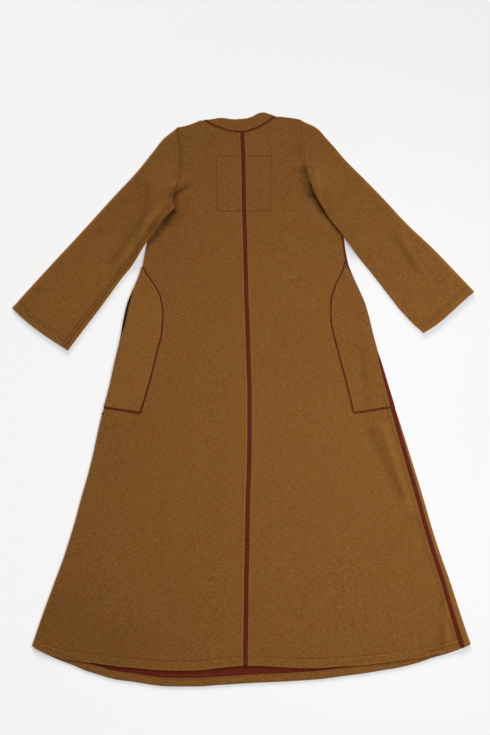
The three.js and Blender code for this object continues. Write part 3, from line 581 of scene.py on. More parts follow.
def wool_cloth(name, grain=0.0):
    material, tree = new_material(name)
    place = node(tree, "ShaderNodeTexCoord").outputs["Object"]
    cloth_place = node(
        tree, "ShaderNodeMapping",
        {"Vector": place, "Rotation": (0, 0, -grain), "Scale": (1000,) * 3},
    ).outputs["Vector"]

    def noise(size, detail, stretch=1.0, roughness=0.6):
        scaled = node(
            tree, "ShaderNodeMapping",
            {"Vector": cloth_place, "Scale": (1 / (size * stretch), 1 / size, 1 / size)},
        ).outputs["Vector"]
        inputs = {"Vector": scaled, "Scale": 1.0, "Detail": detail, "Roughness": roughness}
        return node(tree, "ShaderNodeTexNoise", inputs).outputs["Fac"]

    streaks = noise(STREAK["width"], 2, STREAK["length"] / STREAK["width"])
    heather = noise(1.5, 3)
    blotches = noise(46, 2)
    tone = noise(210, 1)
    yarn = node(tree, "ShaderNodeMath", {0: streaks, 1: heather}, operation="ADD").outputs[0]
    yarn = node(tree, "ShaderNodeMapRange", {"Value": yarn, "From Min": 0.76, "From Max": 1.24})
    colour = ramp(tree, yarn.outputs[0], (0.0, WOOL_DARK), (0.5, WOOL), (1.0, WOOL_LIGHT))
    uneven = node(tree, "ShaderNodeMath", {0: blotches, 1: tone}, operation="ADD").outputs[0]
    uneven = node(
        tree, "ShaderNodeMapRange",
        {"Value": uneven, "From Min": 0.6, "From Max": 1.4, "To Min": 0.965, "To Max": 1.035},
    ).outputs[0]
    colour = node(
        tree, "ShaderNodeVectorMath", {0: colour, "Scale": uneven}, operation="SCALE"
    ).outputs[0]
    cast = ramp(tree, noise(34, 2), (0.35, "#fff8f2"), (0.65, "#fbfeff"))
    colour = node(tree, "ShaderNodeVectorMath", {0: colour, 1: cast}, operation="MULTIPLY").outputs[0]

    def threads(direction, spacing):
        inputs = {"Vector": cloth_place, "Scale": WAVE_LENGTH / spacing, "Distortion": 0.6}
        inputs["Detail"] = 1.0
        return node(
            tree, "ShaderNodeTexWave", inputs, bands_direction=direction, wave_profile="SIN"
        ).outputs["Fac"]

    weave = node(
        tree, "ShaderNodeMath", {0: threads("X", YARN), 1: threads("Y", YARN)}, operation="ADD"
    ).outputs[0]
    nap_and_painted_light = noise(0.9, 3, roughness=0.7)
    relief = node(
        tree, "ShaderNodeMath", {0: nap_and_painted_light, 1: 2.0, 2: weave}, operation="MULTIPLY_ADD"
    ).outputs[0]
    fine = node(tree, "ShaderNodeBump", {"Height": relief, "Strength": 0.5, "Distance": 0.0003})
    felt = noise(9, 3)
    soft = node(
        tree, "ShaderNodeBump",
        {"Height": felt, "Strength": 0.3, "Distance": 0.0008, "Normal": fine.outputs[0]},
    )
    # The attribute paints light into the colour: painted shade below zero, painted highlight above it.
    painted_light_value = node(tree, "ShaderNodeAttribute", attribute_name="nap_and_painted_light").outputs["Fac"]
    painted_shade_amount = node(
        tree, "ShaderNodeMath", {0: painted_light_value, 1: -1.0}, operation="MULTIPLY", use_clamp=True
    ).outputs[0]
    colour = node(
        tree, "ShaderNodeMix", {"Factor": painted_shade_amount, "A": colour, "B": to_linear(PAINTED_SHADE)},
        data_type="RGBA",
    ).outputs["Result"]
    painted_light_amount = node(
        tree, "ShaderNodeMath", {0: painted_light_value, 1: PAINTED_HIGHLIGHT_SHARE}, operation="MULTIPLY", use_clamp=True
    ).outputs[0]
    colour = node(
        tree, "ShaderNodeMix", {"Factor": painted_light_amount, "A": colour, "B": to_linear(PAINTED_HIGHLIGHT)},
        data_type="RGBA",
    )
    shader = node(
        tree, "ShaderNodeBsdfPrincipled",
        {
            "Base Color": colour.outputs["Result"], "Roughness": 0.95, "Specular IOR Level": 0.15,
            "Sheen Weight": 0.1, "Sheen Roughness": 0.5, "Sheen Tint": to_linear("#e0a868"),
            "Normal": soft.outputs[0],
        },
    )
    node(tree, "ShaderNodeOutputMaterial", {"Surface": shader.outputs[0]})
    return material


def dress(piece, material, slot, *nodes):
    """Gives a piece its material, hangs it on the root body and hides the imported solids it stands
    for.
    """
    piece.data.materials.append(material)
    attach(piece, "root")
    if nodes:
        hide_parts(*nodes)
    return piece


wool = wool_cloth("fulled_wool")

FRONT_LEVELS = steps(HEM_LEVEL, (-634, 1.5), (-590, 4), (150, 8), (660, 6), (TOP_LEVEL, 4))
EDGE_STEPS = np.array([0.3, 1.8, 3, 4, 5, 6, 7, 8, 9, 10, 13, 19, 31])
BEFORE_EDGE = [-np.inf, -np.inf]
EDGE_PLACES = np.array(BEFORE_EDGE + [-3.8, -2.5, -1.2, 0, 1.2, 2.5, 3.8, 7, 13, 21, 33])
UNDER_STEPS = np.array([0.3, 1.8, 3, 4, 5, 6, 7, 8, 9, 10, 11, 13, 17, 21, 25, 30])
UNDER_PLACES = np.array(
    BEFORE_EDGE + [-3.8, -2.5, -1.2, 0, 1.2, 2.5, 3.8, 8, 13, 18, 22, 26, 31, 36]
)
FRONT_COLUMNS = 118


def front_edge(side, level):
    end = panel_end(side, level, "front")
    return body_point(side, level, np.minimum(end - UNDER_STEPS, -UNDER_PLACES), "front")


level = FRONT_LEVELS[:, None]
left_edge, right_edge = front_edge("left", level), front_edge("right", level)[:, ::-1]
share = np.arange(1, FRONT_COLUMNS) / FRONT_COLUMNS
x = mix(left_edge[:, -1:, 0], right_edge[:, :1, 0], share)
y = row_height(level, x, "front")
z = np.where(x < 0, front_height("left", x, y), front_height("right", x, y))
# Where the front comes up round the right edge a painted highlight lies along the fold.
FOLD_HIGHLIGHT = 0.55
FOLD_HIGHLIGHT_AT = 1.0
FOLD_HIGHLIGHT_WIDTH = 2.8
s = np.minimum(panel_end("right", level, "front") - UNDER_STEPS, -UNDER_PLACES)
front_painted_light = np.zeros((len(level), 2 * len(UNDER_STEPS) + FRONT_COLUMNS - 1))
fold_highlight = FOLD_HIGHLIGHT * np.exp(-(((s - FOLD_HIGHLIGHT_AT) / FOLD_HIGHLIGHT_WIDTH) ** 2))
front_painted_light[:, -len(UNDER_STEPS) :] = fold_highlight[:, ::-1]
front_grid = np.concatenate([left_edge, np.stack([x, y, z], -1), right_edge], 1)
front = cloth("front_panel", front_grid, CLOTH, nap_and_painted_light=front_painted_light)
dress(front, wool, "wool_cloth", "front")

# Turn-up and facing: they lie inside the front and show below the back's hem. The turn-up is
# stitched near its upper edge, which is pulled in there, and it waves a little along its length.
HEM_TURNUP = 18.0
TURNUP_THICKNESS = 1.5
TURNUP_ENDS = (-462, 499)
TURNUP_STITCH = 0.86
TURNUP_LIFT = 0.35
FACING_ENDS = (-400, 420)
HEM_FACING = 24.0
FACING_FROM = HEM_TURNUP + 3 * GAP
HEM_COLUMNS = 190
# The rims of the hem bands carry a faint painted highlight.
HEM_RIM_HIGHLIGHT = 0.1


def hem_band(name, ends, low, high, thickness, rows, height):
    x = np.linspace(*ends, HEM_COLUMNS)[None, :]
    part = np.linspace(0, 1, rows)[:, None]
    y = hem_of["front"](x) + mix(low, high, part)
    grid = np.stack(np.broadcast_arrays(x, y, height(x, part)), -1)
    return cloth(name, grid, thickness, rim_painted_light=HEM_RIM_HIGHLIGHT)


def turnup_height(x, part):
    groove = 0.45 * np.exp(-(((part - TURNUP_STITCH) / 0.07) ** 2))
    fold = TURNUP_LIFT * np.exp(-((part / 0.12) ** 2))
    wave = 0.12 * np.sin(x / 31)
    return CLOTH + GAP + TURNUP_THICKNESS / 2 + TURNUP_LIFT - groove - fold + wave


turnup = hem_band(
    "hem_turnup_cloth", TURNUP_ENDS, 0.2, HEM_TURNUP, TURNUP_THICKNESS, 14, turnup_height
)
dress(turnup, wool, "wool_cloth", "front_hem_turnup")


# Rust cloth, plain woven of fine yarn: smoother than the wool, with a dull satin gloss. Where a
# piece has an attribute named shade, as a tape deep in a pocket's mouth has, painted shade darkens it.
RUST_YARN = 0.7
RUST_SHADED = "#2c0c09"


def rust_cloth(name, dark, light, gloss):
    material, tree = new_material(name)
    place = node(tree, "ShaderNodeTexCoord").outputs["Object"]
    place = node(tree, "ShaderNodeMapping", {"Vector": place, "Scale": (1000,) * 3}).outputs[0]
    patches = node(tree, "ShaderNodeTexNoise", {"Vector": place, "Scale": 0.06, "Detail": 4.0})
    fibres = node(tree, "ShaderNodeTexNoise", {"Vector": place, "Scale": 0.5, "Detail": 3.0})
    total = node(
        tree, "ShaderNodeMath", {0: patches.outputs["Fac"], 1: fibres.outputs["Fac"]}, operation="ADD"
    )
    colour = ramp(tree, node(
        tree, "ShaderNodeMapRange", {"Value": total.outputs[0], "From Min": 0.7, "From Max": 1.3}
    ).outputs[0], (0.0, dark), (1.0, light))
    ribs = [
        node(
            tree, "ShaderNodeTexWave",
            {"Vector": place, "Scale": WAVE_LENGTH / RUST_YARN, "Distortion": 0.4},
            bands_direction=direction,
        ).outputs["Fac"]
        for direction in "XY"
    ]
    weave = node(tree, "ShaderNodeMath", {0: ribs[0], 1: ribs[1]}, operation="ADD").outputs[0]
    bump = node(tree, "ShaderNodeBump", {"Height": weave, "Strength": 0.4, "Distance": 0.0002})
    shade = node(tree, "ShaderNodeAttribute", attribute_name="shade").outputs["Fac"]
    shaded = node(
        tree, "ShaderNodeMix", {"Factor": shade, "A": colour, "B": to_linear(RUST_SHADED)},
        data_type="RGBA",
    )
    shader = node(
        tree, "ShaderNodeBsdfPrincipled",
        {
            "Base Color": shaded.outputs["Result"], "Roughness": gloss, "Specular IOR Level": 0.06,
            "Normal": bump.outputs[0],
        },
    )
    node(tree, "ShaderNodeOutputMaterial", {"Surface": shader.outputs[0]})
    return material


rust_band = rust_cloth("rust_hem_band", "#5c2012", "#6d281a", 0.85)
facing = hem_band(
    "hem_facing_band", FACING_ENDS, FACING_FROM, FACING_FROM + HEM_FACING, TAPE, 6,
    lambda x, part: CLOTH + GAP + TAPE / 2 + 0 * x * part,
)
dress(facing, rust_band, "rust_tape", "front_hem_facing")

# Back: two halves of the same wool, joined down the middle, lying face up on the front. Their
# hem is turned up and stitched 20 mm from its edge, and the seams lie doubled under the cloth.
BACK_LEVELS = steps(
    HEM_LEVEL, (-638.5, 1.5), (-610, 1.3), (-300, 6), (435, 6), (450, 1.4), (593, 6), (606, 1.3),
    (TOP_LEVEL - 4, 4), (TOP_LEVEL, 2),
)
# Distances from the middle seam: close together at the seam and at the stitched square.
FROM_CENTRE = steps(GAP / 2, (2, 1.7), (6, 2), (13, 1.1), (64, 5.5), (82, 1.2), (110, 5.5))
STRETCH_COLUMNS = 88


def back_half(side):
    level = BACK_LEVELS[:, None]
    end = panel_end(side, level, "back")
    edge = body_point(side, level, np.maximum(end + EDGE_STEPS, EDGE_PLACES), "back")
    middle = centre_of(row_height(level, centre_of(level), "back"))
    inner = middle + OUTWARD[side] * FROM_CENTRE[::-1]
    between = mix(edge[:, -1:, 0], inner[:, :1], np.arange(1, STRETCH_COLUMNS) / STRETCH_COLUMNS)
    x = np.concatenate([between, inner], 1)
    y = row_height(level, x, "back")
    flat = np.stack([x, y, back_height(side, x, y)], -1)
    return np.concatenate([edge, flat], 1)


# How much painted highlight lies on the swell beside the middle tape, at the hem's edge and at rims.
SWELL_HIGHLIGHT = {"left": 0.16, "right": 0.06}
HEM_HIGHLIGHT = 0.25
RIM_HIGHLIGHT = 0.7
SHADE_WIDTH = 2.5


def back_painted_light(side):
    """Painted highlight over the folded side edge, beside the middle tape and at the hem's edge, and
    painted shade at the armhole seam, with painted shade and highlight on creases."""
    end = panel_end(side, BACK_LEVELS[:, None], "back")
    bend = np.clip(np.maximum(end + EDGE_STEPS, EDGE_PLACES) / EDGE_ARC, -1, 1)
    nap_and_painted_light = np.zeros(backs[side].shape[:2])
    nap_and_painted_light[:, : len(EDGE_STEPS)] = 1 - bend * bend
    swell = np.exp(-(((FROM_CENTRE[::-1] - RIDGE_AT) / 2) ** 2))
    nap_and_painted_light[:, -len(FROM_CENTRE) :] = SWELL_HIGHLIGHT[side] * swell
    x, y = backs[side][..., 0], backs[side][..., 1]
    seam = np.exp(-(((outline(side, y) - x) / SHADE_WIDTH) ** 2)) * armhole_part(y)
    hem = HEM_HIGHLIGHT * np.exp(-(((y - hem_of["back"](x)) / SHADE_WIDTH) ** 2))
    return nap_and_painted_light + hem + ARMHOLE_SHADE[side] * seam + fold_height(PAINTED_LIGHT_MARKS, x, y)


backs = {side: back_half(side) for side in OUTWARD}
for side in OUTWARD:
    # Painted highlight on the rims, turning to painted shade at the armhole seam.
    painted_rim_light = np.full(backs[side].shape[:2], RIM_HIGHLIGHT)
    painted_rim_light[:, 0] = mix(RIM_HIGHLIGHT, ARMHOLE_SHADE[side], armhole_part(backs[side][:, 0, 1]))
    half = cloth(f"back_{side}_half", backs[side], CLOTH, nap_and_painted_light=back_painted_light(side), rim_painted_light=painted_rim_light)
    dress(half, wool, "wool_cloth", f"back_{side}")

# Tapes: folded rust tape, 10 mm wide, sewn flat over the middle seam and both side seams. The
# one at the right comes up on top below the hip, and the left one stays under the edge.
TAPE_STEPS = np.linspace(-TAPE_WIDTH / 2, TAPE_WIDTH / 2, 13)
TAPE_CROWN = 0.35


def lifted_point(side, level, s, distance):
    """Point at a distance outside the middle of the back's cloth, square to it."""
    here = body_point(side, level, s, "back")
    across = body_point(side, level, s + 0.5, "back") - body_point(side, level, s - 0.5, "back")
    along = body_point(side, level + 2, s, "back") - body_point(side, level - 2, s, "back")
    normal = unit(np.cross(across, along)) * -OUTWARD[side]
    return here + normal * np.asarray(distance)[..., None]


# The left pocket's mouth gapes a little between these heights, and the tape shows in it.
MOUTH = (98.0, 226.0)
MOUTH_EASE = (45.0, 35.0)
MOUTH_TAPE = {"left": 2.2, "right": 0.0}
# Below the left pocket's corner a short stretch of the tape is pulled out over the edge.
STUB = {"left": 6.5, "right": 0.0}
STUB_AT = -94.0
STUB_WIDTH = 4.0


def gape(y):
    return smooth((y - MOUTH[0]) / MOUTH_EASE[0]) * smooth((MOUTH[1] - y) / MOUTH_EASE[1])


rust_tape = rust_cloth("rust_woven_tape", "#571c12", "#692318", 0.7)
crown = TAPE_CROWN * (1 - (TAPE_STEPS / (TAPE_WIDTH / 2)) ** 4)
TAPE_LEVELS = steps(HEM_LEVEL + 0.3, (TAPE_END - 5, 4.5))[:, None]
lift = CLOTH / 2 + 1.5 * GAP + TAPE / 2 + crown - TAPE_CROWN / 2
side_tapes = {}
for side in OUTWARD:
    seam = panel_end(side, TAPE_LEVELS, "back") + MOUTH_TAPE[side] * gape(TAPE_LEVELS)
    seam = seam + STUB[side] * np.exp(-(((TAPE_LEVELS - STUB_AT) / STUB_WIDTH) ** 2))
    tape_grid = lifted_point(side, TAPE_LEVELS, seam + TAPE_STEPS, lift + 0 * seam)
    tape = cloth(f"side_seam_tape_{side}", tape_grid, TAPE)
    side_tapes[side] = dress(tape, rust_tape, "rust_tape", f"side_tape_{side}")

PIPING_WIDTH = 3.6
PIPING_HEIGHT = 1.9
tape_rows = steps(HEM_LEVEL + 0.3, (TOP_LEVEL, 4.5))[:, None]
middle = centre_of(row_height(tape_rows, centre_of(tape_rows), "back"))
x = middle + TAPE_STEPS
y = row_height(tape_rows, x, "back") - np.where(tape_rows == TOP_LEVEL, PIPING_WIDTH / 2 + GAP, 0)
height = np.where(TAPE_STEPS < 0, back_height("left", x, y), back_height("right", x, y))
centre_grid = np.stack([x, y, height + CLOTH / 2 + GAP + TAPE / 2 + crown - TAPE_CROWN / 2], -1)
centre_tape = cloth("centre_seam_tape", centre_grid, TAPE)
dress(centre_tape, rust_tape, "rust_tape", "centre_back_tape")

# Sleeves: each is one piece of the wool, folded along its upper edge and joined along its lower
# one, where the seam is stitched down twice. It flares to an open cuff with a stitched hem.
SLEEVES = {
    "left": table(
        "upper_x upper_y lower_x lower_y",
        (-178, 684, -180, 452),
        (-231, 624, -216, 407),
        (-279, 558, -250, 354),
        (-330, 496, -276, 308),
        (-381, 433, -310, 262),
        (-432, 370, -342, 213),
        (-484, 307, -374, 165),
        (-535, 244, -407, 117),
        (-585, 181, -439, 69),
    ),
    "right": table(
        "upper_x upper_y lower_x lower_y",
        (152, 707, 183, 500),
        (214, 656, 207, 447),
        (265, 593, 240, 393),
        (319, 532, 273, 346),
        (372, 470, 306, 302),
        (424, 407, 340, 255),
        (480, 348, 374, 206),
        (533, 286, 410, 158),
        (585, 224, 451, 115),
    ),
}
SLEEVE_FOLDS = table(
    "x1 y1 x2 y2 left right height",
    (-246, 446, -338, 300, 8, 16, -2.6),
    (-200, 482, -316, 292, 13, 10, 2.4),
    (-300, 520, -370, 400, 26, 26, 0.8),
    (-420, 330, -470, 250, 30, 30, 0.7),
    (-380, 300, -430, 215, 26, 26, -0.6),
    (-188, 500, -190, 462, 10, 14, 4.5),
    (-190, 456, -222, 408, 10, 16, 5.0),
    (184, 512, 206, 448, 12, 8, 3.5),
    (393, 366, 434, 286, 8, 15, -2.6),
    (415, 356, 458, 286, 16, 9, 1.8),
    (240, 520, 300, 420, 28, 28, 0.8),
    (190, 572, 206, 500, 12, 9, 2.6),
    (212, 500, 262, 400, 16, 9, 1.2),
    (480, 300, 530, 235, 26, 26, 0.6),
    (526, 229, 488, 184, 6, 6, -1.1),
    (330, 440, 372, 372, 24, 24, -0.5),
)
# Over the body a sleeve lies this far clear of it, and beside it drops to the surface.
SLEEVE_DROP = 26.0
SLEEVE_MARGIN = 10.0
SLEEVE_CLEAR = 2.4
SLEEVE_RISE_FROM = 498.0
SLEEVE_RISE_TO = 590.0
# How far its layers lie apart, more so at the open cuff.
SLEEVE_LOFT = 2.6
CUFF_LOFT = 0.9
# Between these heights the start of a sleeve laps over the body.
ARMHOLE_LAP = 3.0
LAP_ENDS = (490.0, 580.0)
ARMHOLE_BOW = 0.2
# The cuffs are not cut quite straight, and both sleeve heads are full, most so the right one.
CUFF_FULL = {"left": 6.0, "right": 5.0}
CUFF_FULLEST = {"left": 0.42, "right": 0.68}
HEAD_FULL = {"left": 4.0, "right": 6.0}
HEAD_AT = 0.075
HEAD_WIDTH = 0.05
# A sleeve is closed where it starts below the armhole, and is sewn down flat above it.
CLOSED_START = 0.06
SEWN_START = 0.07
SEWN_FROM = 508.0
# Stations along a sleeve from its start to the cuff, in shares of its length.
SLEEVE_LENGTH = 680.0
SLEEVE_STATIONS = steps(0, (0.006, 0.003), (0.955, 0.0075), (0.985, 0.002), (1, 0.004))[:, None]
# The stations of a sleeve slant to its lower edge, by this share of a right-angled distance.
LOWER_SLANT = 0.77
# The underarm seam is stitched down twice, this far from the lower edge. It shows on the left
# sleeve, and lies nearly flat on the right one.
UNDERARM_BAND = 15.2
UNDERARM_INNER = 8.6
UNDERARM_SHOWS = {"left": 1.0, "right": 0.2}
# Painted shade lies along both stitch lines of the underarm seam, as much as the seam shows.
UNDERARM_SHADE = -0.3
UNDERARM_SHADE_WIDTH = 1.6
CUFF_BAND = {"left": 14.5, "right": 15.5}
CUFF_SECOND = 7.0
SLEEVE_BAND_RISE = 0.4
SLEEVE_GROOVE = 1.2
# Columns lie closer together within these distances from the two folded edges.
UPPER_REACH = 12.0
LOWER_REACH = 31.0


def over_body(side, x, y):
    """1 where a sleeve lies well inside the sides of the body, 0 clear of them."""
    inside = (side_of[side](y) - x) * OUTWARD[side] + SLEEVE_MARGIN + SLEEVE_DROP
    below = (SLEEVE_RISE_TO - y) / (SLEEVE_RISE_TO - SLEEVE_RISE_FROM)
    return smooth(inside / SLEEVE_DROP) * smooth(below)


def sleeve_ring():
    """Columns round a sleeve: kind of place, the place, and the turn of the cloth there."""
    arc = np.linspace(0, 1, 5)
    near = steps(1.5, (6, 2.2), (24, 1.3), (LOWER_REACH, 3.5))
    over = [("upper", 0.0, turn) for turn in arc]
    over += [("upper", way, 1.0) for way in steps(2.0, (UPPER_REACH, 4))]
    over += [("between", part, 1.0) for part in np.linspace(0, 1, 32)[1:-1]]
    over += [("lower", way, 1.0) for way in near[::-1]]
    over += [("lower", 0.0, turn) for turn in arc[::-1]]
    return over + [(kind, place, -turn) for kind, place, turn in over[-2:0:-1]]


# Short stitched lines show on the forearms. What they hold inside stays hidden.
FOREARM_LINES = [
    [(466, 354), (437, 324)],
    [(448, 314), (481, 270)],
    [(531, 276), (500, 247)],
    [(-477, 309), (-461, 295)],
    [(-537, 233), (-522, 220)],
]


def above_foot(y):
    """0 below the foot of the armhole seam and 1 above it."""
    return smooth((y - ARMHOLE_FOOT) / 12 + 0.5)


def sleeve_height(side, x, y, t, turn, lower, cuff):
    """Middle of a sleeve's thickness: its lower layer, its upper one, or the turn between them."""
    cover = over_body(side, x, y)
    sewn_down = (1 - smooth(t / SEWN_START)) * smooth((y - SEWN_FROM) / 30)
    bed = cover * (back_height(side, x, y) + CLOTH / 2 + SLEEVE_CLEAR) * (1 - sewn_down)
    closed = (1 - smooth(t / CLOSED_START)) * (1 - above_foot(y))
    folds = np.maximum(fold_height(SLEEVE_FOLDS, x, y), -SLEEVE_LOFT)
    loft = SLEEVE_LOFT + CUFF_LOFT * smooth((t - 0.8) / 0.2) + folds
    low = bed + CLOTH / 2
    high = low + CLOTH + GAP + loft * (1 - closed)
    way = lower * LOWER_SLANT
    inner = SLEEVE_GROOVE * np.exp(-(((way - UNDERARM_INNER) / GROOVE_WIDTH) ** 2))
    underarm = band(way, UNDERARM_BAND, SLEEVE_BAND_RISE, SLEEVE_GROOVE) - inner
    hem = band(cuff, CUFF_BAND[side], SLEEVE_BAND_RISE, SLEEVE_GROOVE)
    second = CUFF_BAND[side] + CUFF_SECOND
    hem = hem - 0.8 * np.exp(-(((cuff - second) / GROOVE_WIDTH) ** 2))
    seam = 0.9 * np.exp(-((t * SLEEVE_LENGTH / SEAM_WIDTH) ** 2)) * above_foot(y)
    sewn = UNDERARM_SHOWS[side] * underarm + hem - seam - 1.1 * line_groove(FOREARM_LINES, x, y)
    high = high + np.where(turn > 0, sewn, 0)
    return (low + high) / 2 + (high - low) / 2 * np.sin(turn * math.pi / 2)


def cuff_fullness(side, share):
    """How far the cuff bows out, at a share of its width from the upper edge."""
    power = math.log(0.5) / math.log(CUFF_FULLEST[side])
    return CUFF_FULL[side] * np.sin(math.pi * share**power)


def sleeve(side):
    rows = SLEEVES[side]
    rows = dict(rows, t=np.linspace(0, 1, len(rows["upper_x"])))
    edge = {name: through(rows, "t", name) for name in rows if name != "t"}
    end = np.array([rows["upper_x"][-1], rows["upper_y"][-1]])
    cuff = unit(np.array([rows["lower_x"][-1], rows["lower_y"][-1]]) - end)
    t = SLEEVE_STATIONS
    kinds, places, turns = zip(*sleeve_ring())
    place, turn = np.array(places), np.array(turns)
    from_upper = np.array([kind == "upper" for kind in kinds])
    from_lower = np.array([kind == "lower" for kind in kinds])
    ux, uy = edge["upper_x"](t), edge["upper_y"](t)
    lx, ly = edge["lower_x"](t), edge["lower_y"](t)
    width = np.hypot(lx - ux, ly - uy)
    inset = CLOTH / 2 + EDGE_ROLL * (1 - np.cos(turn * math.pi / 2))
    between = mix(inset + UPPER_REACH, width - inset - LOWER_REACH, place)
    way = np.where(from_upper, inset + place, between)
    way = np.where(from_lower, width - inset - place, way)
    x, y = mix(ux, lx, way / width), mix(uy, ly, way / width)
    seam = backs[side][:, 0]
    start_x, start_y = mix(ux[0], lx[0], way / width), mix(uy[0], ly[0], way / width)
    sewn = np.interp(start_y, seam[:, 1], seam[:, 0])
    sewn = np.where(start_y > ARMHOLE_FOOT, sewn, armhole_of[side](start_y))
    lapped = smooth((LAP_ENDS[1] - start_y) / 20) * smooth((start_y - LAP_ENDS[0]) / 15)
    lap = OUTWARD[side] * ARMHOLE_LAP * lapped
    x = x + (sewn - lap - start_x) * (1 - smooth(t / ARMHOLE_BOW))
    share = way / width
    full = cuff_fullness(side, share) * smooth((t - 0.75) / 0.25)
    head = HEAD_FULL[side] * np.exp(-(((t - HEAD_AT) / HEAD_WIDTH) ** 2)) * (1 - smooth(share / 0.5))
    from_cuff = np.abs((x - end[0]) * cuff[1] - (y - end[1]) * cuff[0])
    x = x + OUTWARD[side] * (full * abs(cuff[1]) + 0.5 * head)
    y = y - full * abs(cuff[0]) + head
    z = sleeve_height(side, x, y, t, turn, width - way, from_cuff)
    return np.stack(np.broadcast_arrays(x, y, z), -1)


# Painted shade in the creases' hollows, painted highlight on their crests and over the left forearm.
SLEEVE_PAINTED_LIGHT_MARKS = table(
    "x1 y1 x2 y2 left right height",
    (-250, 440, -338, 300, 6, 9, -0.24),
    (-206, 466, -300, 326, 9, 8, 0.12),
    (393, 366, 434, 286, 6, 10, -0.24),
    (415, 356, 458, 286, 10, 8, 0.1),
    (190, 548, 201, 486, 8, 6, 0.14),
    (-400, 260, -520, 130, 110, 110, 0.09),
)
# Painted highlight lies on the folded edges, less of it on the lower one, and along the upper one
# over a wider band. At the start of a sleeve there is less of it.
LOWER_HIGHLIGHT = 0.6
UPPER_HIGHLIGHT = 0.22
UPPER_HIGHLIGHT_WIDTH = 6.0
START_HIGHLIGHT = 0.3


def sleeve_painted_light(side):
    """Share of painted light: highlight at both folded edges and along the upper edge, painted
    shade at the armhole seam and the underarm stitching, and shade and highlight on the creases.
    """
    nap_and_painted_light = []
    for kind, place, turn in sleeve_ring():
        bend, extra = 1.0, 0.0
        if kind == "upper":
            extra = UPPER_HIGHLIGHT * math.exp(-((place / UPPER_HIGHLIGHT_WIDTH) ** 2))
        if kind == "lower":
            way = (place + CLOTH / 2 + EDGE_ROLL) * LOWER_SLANT
            off = [(way - line) / UNDERARM_SHADE_WIDTH for line in (UNDERARM_BAND, UNDERARM_INNER)]
            bend = LOWER_HIGHLIGHT
            extra = UNDERARM_SHADE * UNDERARM_SHOWS[side] * sum(math.exp(-(d**2)) for d in off)
        nap_and_painted_light.append(bend * (1 - turn * turn) + extra)
    on_top = np.array([turn > 0 for kind, place, turn in sleeve_ring()])
    x, y = sleeves[side][..., 0], sleeves[side][..., 1]
    seam = np.exp(-((SLEEVE_STATIONS * SLEEVE_LENGTH / SHADE_WIDTH) ** 2)) * above_foot(y)
    return nap_and_painted_light + on_top * (ARMHOLE_SHADE[side] * seam + fold_height(SLEEVE_PAINTED_LIGHT_MARKS, x, y))


sleeves = {side: sleeve(side) for side in OUTWARD}
for side in OUTWARD:
    rows = SLEEVES[side]
    run_x, run_y = (rows[name][-1] - rows[name][1] for name in ("upper_x", "upper_y"))
    grain = math.atan2(run_y, run_x) + math.pi / 2
    nap_and_painted_light = sleeve_painted_light(side)
    # Painted highlight on the rims, turning to painted shade at the armhole seam.
    painted_rim_light = np.full(sleeves[side].shape[:2], RIM_HIGHLIGHT)
    painted_rim_light[0] = mix(START_HIGHLIGHT, ARMHOLE_SHADE[side], above_foot(sleeves[side][0, :, 1]))
    tube = cloth(f"sleeve_{side}_tube", sleeves[side], CLOTH, ring=True, nap_and_painted_light=nap_and_painted_light, rim_painted_light=painted_rim_light)
    sleeve_wool = wool_cloth(f"fulled_wool_{side}_sleeve", grain)
    dress(tube, sleeve_wool, "wool_cloth", f"sleeve_{side}")

# Neck: a shaped band of the wool stands above the neckline at the back, folded over a little,
# and runs on round the front inside. Rust piping is caught in the seam below it.
NECK_EDGE = table(
    "x y",
    (-104, 707),
    (-82, 710.5),
    (-59, 714),
    (-28, 710),
    (-6, 711),
    (20, 717),
    (50, 730),
    (66, 726),
    (83, 719),
)
NECK_LEFT, NECK_RIGHT = -100.0, 79.0
NECK_FOLD = 1.2
NECK_BAND_FRONT = 34.0
neck_edge = through(NECK_EDGE, "x", "y")


def crescent(name, ends, lower, upper, height):
    x = np.linspace(*ends, 60)[None, :]
    part = np.linspace(0, 1, 14)[:, None]
    y = mix(lower(x), upper(x), part)
    return cloth(name, np.stack(np.broadcast_arrays(x, y, height(x, y, part)), -1), CLOTH)


def over_neck(x, y):
    """Middle of the back's thickness on both sides of the middle seam."""
    return np.where(x < 0, back_height("left", x, y), back_height("right", x, y))


def neck_band_height(x, y, part):
    edge = 0.35 * np.exp(-((part / 0.1) ** 2)) + 0.3 * np.exp(-(((part - 0.86) / 0.05) ** 2))
    return over_neck(x, top_of["back"](x)) - NECK_FOLD * part**3 + 0.3 - edge


neck_band = crescent(
    "neck_band_back", (NECK_LEFT, NECK_RIGHT), lambda x: top_of["back"](x) + 2 * GAP, neck_edge,
    neck_band_height,
)
dress(neck_band, wool, "wool_cloth", "neck_band")


def front_band_edge(x):
    middle, half = (NECK_LEFT + NECK_RIGHT) / 2, (NECK_RIGHT - NECK_LEFT) / 2
    return top_of["front"](x) + 3 * GAP + mix(5, NECK_BAND_FRONT, 1 - ((x - middle) / half) ** 2)


neck_band_front = crescent(
    "neck_band_front_run", (NECK_LEFT + 8, NECK_RIGHT - 8), lambda x: top_of["front"](x) + 3 * GAP,
    front_band_edge, lambda x, y, part: CLOTH / 2 + GAP,
)
dress(neck_band_front, wool, "wool_cloth", "neck_band_front")


def piping(name, path, width, height, sides=12):
    """Cord sewn into a seam, along a path."""
    along = unit(np.gradient(path, axis=0))
    across = unit(np.cross(along, [0, 0, 1.0]))
    turn = np.arange(sides) * 2 * math.pi / sides
    twist = 1 + 0.05 * np.sin(np.arange(len(path)) * 2.4)[:, None]
    side_way = across[:, None] * (np.cos(turn) * width / 2 * twist)[..., None]
    points = path[:, None] + side_way
    points[..., 2] += np.sin(turn) * height / 2 * twist
    return tube_solid(name, points)


